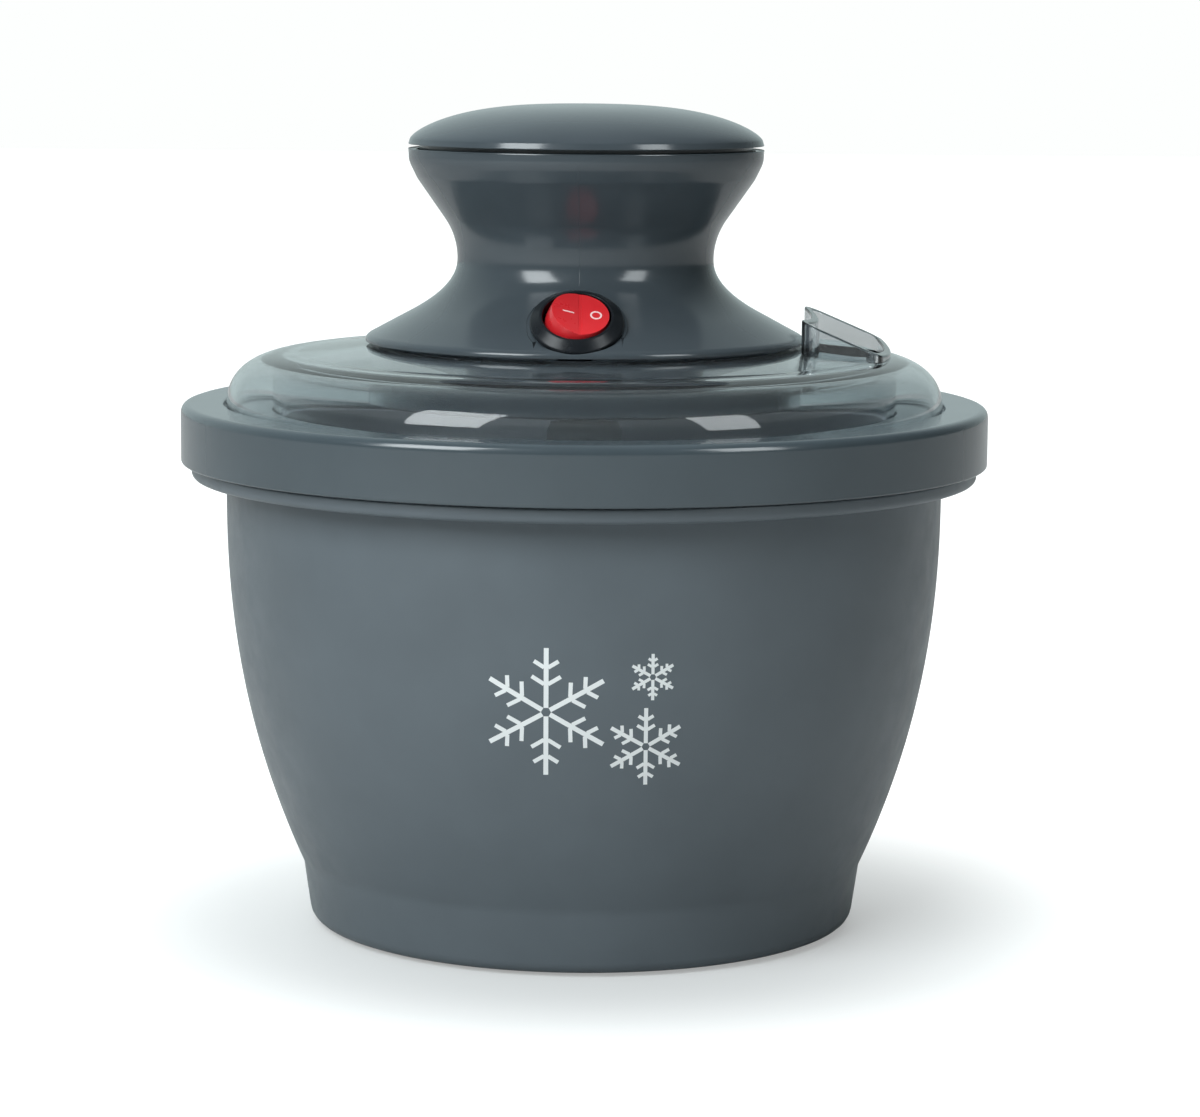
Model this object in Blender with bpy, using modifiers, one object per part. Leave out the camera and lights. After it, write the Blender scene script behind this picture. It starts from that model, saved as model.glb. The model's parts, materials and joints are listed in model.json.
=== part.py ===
"""Ice cream maker: housing, removable freezer bowl, dasher, clear lid and motor head.

All sizes below are in millimetres and are turned into metres when a mesh is made.
The axis of the machine is Z, the table is Z = 0 and the switch faces -Y.
"""
import math

import bmesh
import bpy
from mathutils import Matrix, Vector

MM = 0.001
GAP = 0.3                      # clearance left between touching pieces
MERGE = 0.00001                # merge distance in metres, for the Screw modifier
ROUND = 32                     # segments of the large turned pieces
SMALL_ROUND = 12               # segments of screws, axles and bushes
MEDIUM_ROUND = 20              # segments of the motor and switch pieces

# Driving dimensions of the outside, from the table up
BASE_Z = 0.8                   # underside of the housing, held up by the feet
BASE_FILLET = 3.0
FOOT_WALL_RADIUS = 69.3        # housing just above the base fillet
KINK_Z = 15.5                  # where the straight foot wall meets the swelling wall
WALL_TOP_RADIUS = 90.6
WALL_TOP_Z = 110.0
WALL_PULL_IN = 17.2            # how far the wall has pulled in WALL_PULL_HEIGHT below its top
WALL_PULL_HEIGHT = 90.0
WALL_POWER = 2.23
HOUSING_WALL = 2.2
LIP_RADIUS = 99.4
LIP_LOW_Z = 114.0
LIP_TOP_Z = 117.7
LIP_EDGE = 1.0                 # straight part of the lip's outside, above its round
FOOT_REACH = 54.0              # distance of the feet from the axis
FOOT_RADIUS = 7.0
FOOT_RECESS = 1.3
COLLAR_RADIUS = 102.0
COLLAR_LOW_Z = LIP_TOP_Z + GAP
COLLAR_TOP_Z = 132.6
COLLAR_FILLET = 2.3
COLLAR_INNER_RADIUS = 79.0
COLLAR_WALL = 2.2
LID_RADIUS = 90.6
LID_LOW_Z = 131.6
LID_DOME_RADIUS = 72.0         # where the shallow dome turns into the shoulder
LID_DOME_Z = 145.3
LID_DOME_SLOPE = 0.12
LID_SHOULDER_POWER = 2.4
LID_WALL = 2.2
LID_MOUTH_RADIUS = 52.6        # opening that takes the motor base
LID_RING_RADIUS = 78.6         # locating ring under the lid, inside the collar
LID_RING_WALL = 1.6
SKIRT_RADIUS = 55.5
SKIRT_LOW_Z = 148.1
SKIRT_CONE_LOW_Z = 149.9
CONE_START_Z = 155.0           # the neck's flare is a straight cone below this
CONE_SLOPE = 1.85
WAIST_RADIUS = 32.35
WAIST_Z = 169.0
WAIST_FLARE = 5.15             # growth of the radius 9 mm below the waist
WAIST_FLARE_HEIGHT = 9.0
WAIST_FLARE_POWER = 2.1
NECK_ARC = 17.5                # arc from the waist into the upper cone
NECK_CONE_ANGLE = math.radians(34.6)
NECK_CONE_TOP_Z = 190.0
HEAD_RADIUS = 44.7
HEAD_TOP_Z = 196.8
HEAD_EDGE_Z = 194.2            # bottom of the head's straight rim
HEAD_WALL = 2.0
CAP_LOW_Z = 197.6
CAP_EDGE_Z = 198.4
CAP_RISE = 9.4
CAP_POWER = 2.8
CAP_ROUNDING = 0.72

# Freezer bowl
BOWL_LOW_Z = 13.0              # underside of the bowl's outer shell
BOWL_SHELL_WALL = 1.8
BOWL_AIR_GAP = 3.4             # between the housing's inner wall and the bowl
LINER_RADIUS = 76.0
LINER_WALL = 1.2
LINER_FLOOR_Z = 24.0
LINER_LOW_RADIUS = 58.0
FLANGE_Z = 129.2               # top of the liner's rim
FLANGE_RADIUS = 84.0
SHELL_RIM_Z = FLANGE_Z - 4.4   # underside of the shell's rim
SHELL_RIM_RADIUS = 85.8
SHELL_STRAIGHT_Z = 20.0        # the shell's base rounds off below this
FILL_SPOT = (30.0, 0.0)        # filling hole of the coolant space
FILL_RADIUS = 4.0
GEL_TOP_Z = 112.0
DASHER_TOP_Z = 112.0
DASHER_CLEARANCE = 2.5
DASHER_RAIL = 9.0              # width of the paddle's outer rails
HUB_RADIUS = 9.5
HUB_TOP_Z = 129.5
PIVOT_HEIGHT = 11.5            # centre pivot of the liner above its floor

# Motor base, lid mouth and drive
BASE_PLUG_RADIUS = 51.8
BASE_PLUG_LOW_Z = 134.0
BASE_PLUG_TOP_Z = 148.7
BASE_PLUG_WALL = 2.0
PILLAR_RADIUS = 3.5
PILLAR_REACH = 41.0            # distance of the base pillars from the axis
PILLAR_ANGLES = (30, 90, 150)
SCREW_PILOT = 1.5
SHAFT_RADIUS = 2.5
BUSH_RADIUS = 4.4
COUPLER_RADIUS = 6.5

# Gear train: every meshing pair has the same tooth sum, so one centre distance
MODULE = 0.65
PINION_TEETH = 10
FIRST_BIG = 30
FIRST_SMALL = 12
SECOND_BIG = 28
SECOND_SMALL = 14
OUTPUT_TEETH = 26
CENTRE_DISTANCE = MODULE * (PINION_TEETH + FIRST_BIG) / 2
FIRST_ANGLE = math.radians(60)
SECOND_ANGLE = math.radians(120)
GEAR_THICKNESS = 3.0
LAYER_STEP = 3.5
LOW_LAYER_Z = 155.0
AXLE_RADIUS = 1.0
ROTOR_SHAFT_RADIUS = 1.5
CASE_RADIUS = 27.0
CASE_LOW_Z = 152.3
CASE_FLOOR = 2.2
CASE_TOP_Z = 166.0
COVER_THICKNESS = 1.6
EAR_REACH = 33.0
EAR_RADIUS = 4.2
CAN_RADIUS = 26.0
CAN_TOP_Z = 187.0
CAN_WALL = 1.0

# Switch: a round rocker in a tilted pad on the front of the skirt
SWITCH_CENTRE = Vector((-2.0, -46.2, 156.9))
SWITCH_TILT = math.radians(53)  # how far the face looks up
BEZEL_RADIUS = 11.4
BEZEL_THICKNESS = 1.3
SWITCH_BODY_RADIUS = 9.9
SWITCH_DEPTH = 14.0
BEZEL_RISE = 1.4               # how far the bezel swells up to the edge of its pocket
POCKET_RADIUS = 8.35
POCKET_DEPTH = 7.2
ROCKER_RADIUS = 7.9
ROCKER_VALLEY = 3.9            # height of the rocker's middle above its hinge
ROCKER_SLOPE = math.radians(7)
ROCKER_PIVOT_DEPTH = 2.0
ROCKER_REST = math.radians(11)  # off position, left side proud

# Filling chute on the right of the lid
CHUTE_ANGLE = math.radians(-4.5)
CHUTE_HALF_WIDTH = 21.0
CHUTE_INNER_RADIUS = 57.2
CHUTE_OUTER_RADIUS = 77.3
CHUTE_CORNER = 5.0
CHUTE_WALL = 1.8
CHUTE_TOP_Z = 156.3            # rim height where CHUTE_TOP_REACH is the distance from the axis
CHUTE_TOP_REACH = 54.4
CHUTE_SLOPE = 0.425            # fall of the rim away from the axis
CHUTE_LEAN = 0.03              # fall of the rim towards the front

# Cord gland at the back
GLAND_Z = 163.5
GLAND_FACE_Y = 41.0
GLAND_BORE = 3.2
GLAND_NECK = 4.1
GLAND_BOSS_RADIUS = 6.4

COLOURS = {
    "slate_gloss": ((0.085, 0.105, 0.115), 0.22, 0.0),
    "slate_satin": ((0.095, 0.115, 0.125), 0.45, 0.0),
    "clear": ((0.80, 0.84, 0.88), 0.08, 0.0),
    "black": ((0.012, 0.012, 0.014), 0.35, 0.0),
    "red": ((0.62, 0.02, 0.03), 0.28, 0.0),
    "white": ((0.82, 0.82, 0.80), 0.40, 0.0),
    "gel": ((0.25, 0.50, 0.75), 0.30, 0.0),
    "rubber": ((0.03, 0.03, 0.03), 0.80, 0.0),
    "aluminium": ((0.78, 0.79, 0.80), 0.35, 1.0),
    "steel": ((0.60, 0.60, 0.62), 0.30, 1.0),
    "brass": ((0.75, 0.58, 0.28), 0.30, 1.0),
    "copper": ((0.72, 0.36, 0.20), 0.35, 1.0),
    "ferrite": ((0.10, 0.10, 0.11), 0.55, 0.0),
    "nylon": ((0.86, 0.84, 0.76), 0.45, 0.0),
}


# ---------------------------------------------------------------- helpers

def clear_scene():
    for item in list(bpy.data.objects):
        bpy.data.objects.remove(item, do_unlink=True)


def make_collection(name):
    collection = bpy.data.collections.new(name)
    bpy.context.scene.collection.children.link(collection)
    return collection


def make_materials():
    made = {}
    for name, (colour, roughness, metallic) in COLOURS.items():
        material = bpy.data.materials.new(name)
        material.use_nodes = True
        shader = material.node_tree.nodes["Principled BSDF"]
        shader.inputs["Base Color"].default_value = (*colour, 1.0)
        shader.inputs["Roughness"].default_value = roughness
        shader.inputs["Metallic"].default_value = metallic
        made[name] = material
    return made


clear_scene()
PARTS = make_collection("ice_cream_maker")
CUTTERS = make_collection("cutters")
MATERIALS = make_materials()


def add_object(name, mesh, material=None, location=(0, 0, 0)):
    """Put a mesh (already in metres) in the scene; without a material it is a cutter."""
    item = bpy.data.objects.new(name, mesh)
    item.location = Vector(location) * MM
    if material is None:
        CUTTERS.objects.link(item)
        item.hide_render = True
        item.display_type = "WIRE"
    else:
        PARTS.objects.link(item)
        mesh.materials.append(MATERIALS[material])
    return item


def smooth(item):
    item.data.shade_smooth()
    item.data.set_sharp_from_angle(angle=math.radians(30))


def turned(name, profile, material=None, segments=ROUND, location=(0, 0, 0), closed=True):
    """Turn a profile of (radius, height) about Z. Its outer side runs from top to bottom."""
    mesh = bpy.data.meshes.new(name)
    points = [(radius * MM, 0.0, height * MM) for radius, height in profile]
    edges = [(index, index + 1) for index in range(len(points) - 1)]
    if closed:
        edges.append((len(points) - 1, 0))
    mesh.from_pydata(points, edges, [])
    item = add_object(name, mesh, material, location)
    screw = item.modifiers.new("Turn", "SCREW")
    screw.axis = "Z"
    screw.angle = math.tau
    screw.steps = segments
    screw.render_steps = segments
    screw.use_merge_vertices = True
    screw.merge_threshold = MERGE
    screw.use_smooth_shade = True
    return item


def turned_solid(name, profile, material=None, segments=ROUND, location=(0, 0, 0)):
    """Turn a solid whose profile starts and ends on the axis."""
    return turned(name, profile, material, segments, location, closed=False)


def rod(name, radius, low, high, material=None, segments=SMALL_ROUND, centre=(0, 0)):
    """A plain vertical cylinder between two heights."""
    bm = bmesh.new()
    bmesh.ops.create_cone(bm, cap_ends=True, segments=segments, radius1=radius * MM,
                          radius2=radius * MM, depth=(high - low) * MM)
    mesh = bpy.data.meshes.new(name)
    bm.to_mesh(mesh)
    bm.free()
    item = add_object(name, mesh, material, (centre[0], centre[1], (low + high) / 2))
    if material:
        smooth(item)
    return item


def block(name, size, location, material=None, rotation=None):
    """A box of the given size with its centre at the location."""
    bm = bmesh.new()
    bmesh.ops.create_cube(bm, size=1.0)
    bmesh.ops.scale(bm, vec=Vector(size) * MM, verts=bm.verts)
    mesh = bpy.data.meshes.new(name)
    bm.to_mesh(mesh)
    bm.free()
    item = add_object(name, mesh, material, location)
    if rotation:
        item.rotation_euler = rotation
    return item


def plate(name, outlines, low, high, material=None, location=(0, 0, 0)):
    """Extrude flat outlines, the first one outside and the others holes, between two heights."""
    curve = bpy.data.curves.new(name, "CURVE")
    curve.dimensions = "2D"
    curve.fill_mode = "BOTH"
    curve.extrude = (high - low) / 2 * MM
    for outline in outlines:
        spline = curve.splines.new("POLY")
        spline.points.add(len(outline) - 1)
        for point, (x, y) in zip(spline.points, outline):
            point.co = (x * MM, y * MM, 0.0, 1.0)
        spline.use_cyclic_u = True
    guide = bpy.data.objects.new(name + "_curve", curve)
    CUTTERS.objects.link(guide)
    bpy.context.view_layer.update()
    evaluated = guide.evaluated_get(bpy.context.evaluated_depsgraph_get())
    mesh = bpy.data.meshes.new_from_object(evaluated)
    mesh.name = name
    bm = bmesh.new()
    bm.from_mesh(mesh)
    bmesh.ops.remove_doubles(bm, verts=bm.verts, dist=MERGE)
    bmesh.ops.recalc_face_normals(bm, faces=bm.faces)
    bm.to_mesh(mesh)
    bm.free()
    mesh.materials.clear()
    bpy.data.objects.remove(guide, do_unlink=True)
    place = (location[0], location[1], location[2] + (low + high) / 2)
    return add_object(name, mesh, material, place)


def boolean(item, other, operation="DIFFERENCE"):
    step = item.modifiers.new(operation.title(), "BOOLEAN")
    step.operation = operation
    step.solver = "EXACT"
    step.object = other


def arc(centre, radius, start, end, steps):
    """Points of an arc in the profile plane, with angles in degrees from the outward direction."""
    points = []
    for index in range(steps + 1):
        angle = math.radians(start + (end - start) * index / steps)
        points.append((centre[0] + radius * math.cos(angle), centre[1] + radius * math.sin(angle)))
    return points


def spread(low, high, steps):
    return [low + (high - low) * index / steps for index in range(steps + 1)]


def offset(profile, distance):
    """Move a profile that runs from top to bottom inwards by a wall thickness."""
    moved = []
    last = len(profile) - 1
    for index, point in enumerate(profile):
        before = Vector(profile[max(index - 1, 0)])
        after = Vector(profile[min(index + 1, last)])
        along = (after - before).normalized()
        moved.append((point[0] + along.y * distance, point[1] - along.x * distance))
    return moved


def ring_points(radius, count, turn=0.0):
    step = math.tau / count
    return [(radius * math.cos(turn + step * index), radius * math.sin(turn + step * index))
            for index in range(count)]


def polar(radius, angle):
    return (radius * math.cos(angle), radius * math.sin(angle))


# ---------------------------------------------------------------- housing and feet

def housing_wall_radius(height):
    drop = (WALL_TOP_Z - height) / WALL_PULL_HEIGHT
    return WALL_TOP_RADIUS - WALL_PULL_IN * drop ** WALL_POWER


def housing_outer_profile():
    """Outside of the housing, from the lip's top edge down to the base."""
    lip_round = LIP_TOP_Z - LIP_EDGE - LIP_LOW_Z
    profile = [(LIP_RADIUS, LIP_TOP_Z)]
    profile += arc((LIP_RADIUS - lip_round, LIP_TOP_Z - LIP_EDGE), lip_round, 0, -90, 3)
    profile += [(WALL_TOP_RADIUS + 1.0, LIP_LOW_Z), (WALL_TOP_RADIUS, LIP_LOW_Z - 1.0)]
    profile += [(housing_wall_radius(height), height) for height in spread(WALL_TOP_Z, KINK_Z, 6)]
    fillet_centre = (FOOT_WALL_RADIUS - BASE_FILLET, BASE_Z + BASE_FILLET)
    return profile + arc(fillet_centre, BASE_FILLET, 0, -90, 3)


def make_housing():
    outer = housing_outer_profile()
    wall = [point for point in outer if BASE_Z + BASE_FILLET < point[1] <= WALL_TOP_Z]
    inner = offset(wall, HOUSING_WALL)
    inner[0] = (WALL_TOP_RADIUS - HOUSING_WALL, LIP_TOP_Z)
    floor_z = BASE_Z + HOUSING_WALL + GAP
    foot = FOOT_WALL_RADIUS - HOUSING_WALL
    inner = inner[:-1] + [(foot + 1.0, floor_z + 3.0), (foot - 2.0, floor_z)]
    profile = [(0, floor_z)] + inner[::-1] + outer + [(0, BASE_Z)]
    housing = turned_solid("outer_housing", profile, "slate_satin")
    for index in range(4):
        spot = polar(FOOT_REACH, math.radians(45 + 90 * index))
        recess = rod(f"foot_recess_{index + 1}", FOOT_RADIUS + GAP, BASE_Z - 2.0, BASE_Z + FOOT_RECESS,
                     centre=spot)
        boolean(housing, recess)
        top = BASE_Z + FOOT_RECESS - GAP
        profile = [(0, top), (FOOT_RADIUS, top), (FOOT_RADIUS, 0.6), (FOOT_RADIUS - 0.6, 0.0), (0, 0.0)]
        turned_solid(f"foot_{index + 1}", profile, "rubber", SMALL_ROUND, (*spot, 0))


# ---------------------------------------------------------------- freezer bowl

def bowl_shell_radius(height):
    inner = housing_wall_radius(height) - HOUSING_WALL
    return min(inner - BOWL_AIR_GAP, WALL_TOP_RADIUS - HOUSING_WALL - BOWL_AIR_GAP)


def liner_radius(height):
    """Inside radius of the liner, which widens towards its rim on a soft curve."""
    share = (FLANGE_Z - height) / (FLANGE_Z - LINER_FLOOR_Z)
    return LINER_RADIUS - (LINER_RADIUS - LINER_LOW_RADIUS) * share ** 2


def bowl_shell_profile():
    """Outside of the bowl's shell, from under its rim down to its base."""
    profile = [(bowl_shell_radius(WALL_TOP_Z), SHELL_RIM_Z)]
    profile += [(bowl_shell_radius(height), height) for height in spread(WALL_TOP_Z, SHELL_STRAIGHT_Z, 4)]
    foot = bowl_shell_radius(SHELL_STRAIGHT_Z - 3.0)
    return profile + [(foot - 1.0, BOWL_LOW_Z + 2.0), (foot - 4.0, BOWL_LOW_Z)]


def liner_profile():
    """Inside of the liner, from its rim down to its floor."""
    low_round = 6.0
    heights = spread(FLANGE_Z - 1.0, LINER_FLOOR_Z + low_round, 5)
    profile = [(LINER_RADIUS, FLANGE_Z)] + [(liner_radius(height), height) for height in heights]
    foot = profile[-1][0]
    return profile + [(foot - 1.8, LINER_FLOOR_Z + 1.8), (foot - low_round, LINER_FLOOR_Z)]


def make_bowl_shell():
    outer = bowl_shell_profile()
    floor_z = BOWL_LOW_Z + BOWL_SHELL_WALL
    inner = offset(outer, BOWL_SHELL_WALL)
    inner[0] = (inner[0][0], SHELL_RIM_Z + 1.5)
    inner[-1] = (inner[-1][0], floor_z)
    rim = [(SHELL_RIM_RADIUS, SHELL_RIM_Z + 1.5), (SHELL_RIM_RADIUS, SHELL_RIM_Z)]
    profile = [(0, floor_z)] + inner[::-1] + rim + outer + [(0, BOWL_LOW_Z)]
    shell = turned_solid("bowl_outer_shell", profile, "slate_satin")
    boolean(shell, rod("fill_hole", FILL_RADIUS + GAP, BOWL_LOW_Z - 2, BOWL_LOW_Z + 4, centre=FILL_SPOT))
    head = FILL_RADIUS + 2.0
    plug = [(0, floor_z), (FILL_RADIUS, floor_z), (FILL_RADIUS, BOWL_LOW_Z - GAP), (head, BOWL_LOW_Z - GAP),
            (head, BOWL_LOW_Z - 1.6), (0, BOWL_LOW_Z - 1.6)]
    turned_solid("fill_plug", plug, "black", SMALL_ROUND, (*FILL_SPOT, 0))


def make_liner():
    inner = liner_profile()
    outer = offset(inner, -LINER_WALL)
    outer[0] = (LINER_RADIUS + LINER_WALL, FLANGE_Z - LINER_WALL)
    outer[-1] = (outer[-1][0], LINER_FLOOR_Z - LINER_WALL)
    rim = [(FLANGE_RADIUS, FLANGE_Z), (FLANGE_RADIUS, FLANGE_Z - LINER_WALL)]
    pivot = [(0, LINER_FLOOR_Z + PIVOT_HEIGHT), (4.0, LINER_FLOOR_Z + PIVOT_HEIGHT - 1.5),
             (5.5, LINER_FLOOR_Z + 1.5), (8.0, LINER_FLOOR_Z)]
    profile = pivot + inner[::-1] + rim + outer + [(0, LINER_FLOOR_Z - LINER_WALL)]
    turned_solid("bowl_liner", profile, "aluminium")


def make_gel():
    """The coolant fills the space between liner and shell, short of the rim."""
    room = 0.5
    inside = offset(liner_profile(), -LINER_WALL - room)
    inside = [point for point in inside if point[1] < GEL_TOP_Z]
    inside[-1] = (inside[-1][0], LINER_FLOOR_Z - LINER_WALL - room)
    outside = offset(bowl_shell_profile(), BOWL_SHELL_WALL + room)
    outside = [point for point in outside if point[1] < GEL_TOP_Z]
    outside[-1] = (outside[-1][0], BOWL_LOW_Z + BOWL_SHELL_WALL + room)
    profile = [(0, inside[-1][1])] + inside[::-1] + outside + [(0, outside[-1][1])]
    turned_solid("coolant_gel", profile, "gel")


def make_gasket():
    """Square-section seal between the liner's flange and the shell's rim."""
    low = FLANGE_Z - 2.9 + GAP
    high = FLANGE_Z - LINER_WALL - GAP
    inner = LINER_RADIUS + 6.0
    outer = FLANGE_RADIUS - 0.6
    turned("bowl_gasket", [(outer, high), (outer, low), (inner, low), (inner, high)], "rubber")


def make_collar():
    """Channel-shaped ring: outer band, top, stepped lid seat, resting rib and locating wall."""
    fillet = arc((COLLAR_RADIUS - COLLAR_FILLET, COLLAR_TOP_Z - COLLAR_FILLET), COLLAR_FILLET, 90, 0, 3)
    band_in = COLLAR_RADIUS - COLLAR_WALL
    seat_radius = LID_RADIUS + 2 * GAP
    seat_z = LID_LOW_Z - GAP
    under = COLLAR_TOP_Z - COLLAR_WALL
    seat_under = FLANGE_Z + GAP
    wall_low = LIP_TOP_Z - 4.7
    wall_out = WALL_TOP_RADIUS - HOUSING_WALL - 0.5
    wall_in = wall_out - 1.6
    rib_out = wall_out + 6.0
    rib_in = rib_out - 2.0
    profile = fillet + [
        (COLLAR_RADIUS, COLLAR_LOW_Z), (band_in, COLLAR_LOW_Z), (band_in, under), (rib_out, under),
        (rib_out, COLLAR_LOW_Z), (rib_in, COLLAR_LOW_Z), (rib_in, seat_under), (wall_out, seat_under),
        (wall_out, wall_low), (wall_in, wall_low), (wall_in, seat_under), (COLLAR_INNER_RADIUS, seat_under),
        (COLLAR_INNER_RADIUS, seat_z), (seat_radius, seat_z), (seat_radius, COLLAR_TOP_Z)]
    turned("bowl_collar", profile, "slate_gloss")


def dasher_window(low, high):
    """Opening between the hub and the rail that follows the liner."""
    rail = DASHER_CLEARANCE + DASHER_RAIL
    inner = HUB_RADIUS + 2.0
    return [(inner, low), (liner_radius(low) - rail, low), (liner_radius(high) - rail, high), (inner, high)]


def mirrored(outline):
    return [(-x, height) for x, height in outline[::-1]]


def make_dasher():
    """Two-armed paddle whose outer edges follow the liner, on a tall hub with a hexagonal socket."""
    low = LINER_FLOOR_Z + 3.0
    edge_low = low + 5.0
    window_low = edge_low + 4.0
    window_high = DASHER_TOP_Z - DASHER_RAIL
    middle = (window_low + window_high) / 2
    heights = spread(edge_low, DASHER_TOP_Z, 4)
    edge = [(liner_radius(height) - DASHER_CLEARANCE, height) for height in heights]
    right = [(edge[0][0] - 6.0, low)] + edge
    windows = [dasher_window(window_low, middle - 4.0), dasher_window(middle + 4.0, window_high)]
    windows += [mirrored(window) for window in windows]
    dasher = plate("dasher", [right + mirrored(right)] + windows, -1.6, 1.6, "white")
    dasher.rotation_euler = (math.pi / 2, 0, 0)
    hub_low = low - 0.5
    hub_profile = [(0, HUB_TOP_Z), (HUB_RADIUS - 0.9, HUB_TOP_Z), (HUB_RADIUS, HUB_TOP_Z - 3.5),
                   (HUB_RADIUS, hub_low), (0, hub_low)]
    boolean(dasher, turned_solid("dasher_hub", hub_profile, segments=MEDIUM_ROUND), "UNION")
    socket_low = DASHER_TOP_Z
    socket = plate("dasher_socket", [ring_points(COUPLER_RADIUS + 0.4, 6)], socket_low, HUB_TOP_Z + 2.5)
    boolean(dasher, socket)
    pivot_top = LINER_FLOOR_Z + PIVOT_HEIGHT + 2.5
    bearing_profile = [(0, pivot_top), (4.6, pivot_top - 2.0), (6.4, LINER_FLOOR_Z), (0, LINER_FLOOR_Z)]
    boolean(dasher, turned_solid("dasher_bearing", bearing_profile, segments=SMALL_ROUND))


# ---------------------------------------------------------------- lid

def lid_outer_profile():
    """Outside of the lid from its mouth, over the dome and shoulder, down to its bottom edge."""
    mouth_z = LID_DOME_Z + LID_DOME_SLOPE * (LID_DOME_RADIUS - LID_MOUTH_RADIUS)
    profile = [(LID_MOUTH_RADIUS, mouth_z)]
    width = LID_RADIUS - LID_DOME_RADIUS
    rise = LID_DOME_Z - LID_LOW_Z
    steps = 7
    for index in range(steps + 1):
        angle = math.pi / 2 * index / steps
        radius = LID_DOME_RADIUS + width * math.sin(angle) ** (2 / LID_SHOULDER_POWER)
        height = LID_LOW_Z + rise * math.cos(angle) ** (2 / LID_SHOULDER_POWER)
        profile.append((radius, height))
    return profile


def chute_outline(inset):
    """Plan of the chute: two parallel sides joined by arcs about the machine's axis."""
    corner = CHUTE_CORNER - inset
    side = CHUTE_HALF_WIDTH - CHUTE_CORNER
    outer = CHUTE_OUTER_RADIUS - CHUTE_CORNER
    inner = CHUTE_INNER_RADIUS + CHUTE_CORNER
    outer_angle = math.asin(side / outer)
    inner_angle = math.asin(side / inner)
    upper = [(outer + corner, 0.0)]
    upper += arc(polar(outer, outer_angle), corner, math.degrees(outer_angle), 90, 3)
    upper += arc(polar(inner, inner_angle), corner, 90, 180 + math.degrees(inner_angle), 3)
    upper.append((inner - corner, 0.0))
    outline = upper + [(x, -y) for x, y in reversed(upper[1:-1])]
    turn = Matrix.Rotation(CHUTE_ANGLE, 2)
    return [tuple(turn @ Vector(point)) for point in outline]


def make_lid():
    """Domed cover with a locating ring, a mouth for the motor base and the filling chute."""
    outer = lid_outer_profile()
    inner = offset(outer, LID_WALL)
    throat_radius = LID_MOUTH_RADIUS + 2.0
    throat_low = BASE_PLUG_LOW_Z + 1.0
    inner[0] = (throat_radius, inner[0][1])
    inner[-1] = (LID_RADIUS - LID_WALL, LID_LOW_Z)
    ring_in = LID_RING_RADIUS - LID_RING_WALL
    ring_low = FLANGE_Z + 0.7
    under = [point for point in inner if point[0] > LID_RING_RADIUS + 1.5]
    before = [point for point in inner if point[0] < ring_in - 1.0]
    root_z = under[0][1] + 0.6
    ring = [(LID_RING_RADIUS, root_z), (LID_RING_RADIUS, ring_low), (ring_in, ring_low),
            (ring_in, root_z + 0.6)]
    profile = outer + under[::-1] + ring + before[::-1]
    profile += [(throat_radius, throat_low), (LID_MOUTH_RADIUS, throat_low)]
    lid = turned("lid", profile, "clear")
    top = CHUTE_TOP_Z + 4.0
    hopper = plate("chute_outside", [chute_outline(0.0)], LID_DOME_Z - 3.2, top)
    boolean(hopper, make_chute_slant())
    boolean(lid, hopper, "UNION")
    boolean(lid, plate("chute_inside", [chute_outline(CHUTE_WALL)], LID_DOME_Z - 12.0, top + 2.0))


def make_chute_slant():
    """Large block whose underside is the slanted plane of the chute's rim."""
    thick = 20.0
    slant = block("chute_slant", (80.0, 80.0, thick), (0, 0, 0))
    middle = (CHUTE_TOP_REACH + CHUTE_OUTER_RADIUS) / 2
    rim_z = CHUTE_TOP_Z - CHUTE_SLOPE * (middle - CHUTE_TOP_REACH)
    turn = Matrix.Rotation(CHUTE_ANGLE, 4, "Z")
    tilt = Matrix.Rotation(math.atan(CHUTE_SLOPE), 4, "Y")
    rim = Matrix.Translation(Vector((middle, 0, rim_z)) * MM)
    lean = Matrix.Rotation(math.atan(CHUTE_LEAN), 4, "X")
    raised = Matrix.Translation((0, 0, thick / 2 * MM))
    slant.matrix_world = turn @ rim @ tilt @ lean @ raised
    return slant


# ---------------------------------------------------------------- motor head

def neck_profile():
    """Outside of the motor housing from its top lip down to the bottom of the skirt."""
    arc_top = (WAIST_RADIUS + NECK_ARC * (1 - math.cos(NECK_CONE_ANGLE)),
               WAIST_Z + NECK_ARC * math.sin(NECK_CONE_ANGLE))
    cone_top = arc_top[0] + math.tan(NECK_CONE_ANGLE) * (NECK_CONE_TOP_Z - arc_top[1])
    profile = [(HEAD_RADIUS, HEAD_TOP_Z), (HEAD_RADIUS, HEAD_EDGE_Z), (HEAD_RADIUS - 0.4, HEAD_EDGE_Z - 1.4),
               (cone_top, NECK_CONE_TOP_Z)]
    for angle in spread(NECK_CONE_ANGLE, 0.0, 3):
        profile.append((WAIST_RADIUS + NECK_ARC * (1 - math.cos(angle)),
                        WAIST_Z + NECK_ARC * math.sin(angle)))
    for height in spread(WAIST_Z, CONE_START_Z, 5)[1:]:
        growth = ((WAIST_Z - height) / WAIST_FLARE_HEIGHT) ** WAIST_FLARE_POWER
        profile.append((WAIST_RADIUS + WAIST_FLARE * growth, height))
    low_radius, low_z = profile[-1]
    profile.append((low_radius + CONE_SLOPE * (low_z - SKIRT_CONE_LOW_Z), SKIRT_CONE_LOW_Z))
    profile += [(SKIRT_RADIUS, SKIRT_LOW_Z + 1.0), (SKIRT_RADIUS, SKIRT_LOW_Z)]
    return profile


def switch_frame():
    """Matrix of the switch: local Z looks out of its face, local Y runs up the slope."""
    rotation = Matrix.Rotation(math.pi / 2 - SWITCH_TILT, 4, "X")
    return Matrix.Translation(SWITCH_CENTRE * MM) @ rotation


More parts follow.
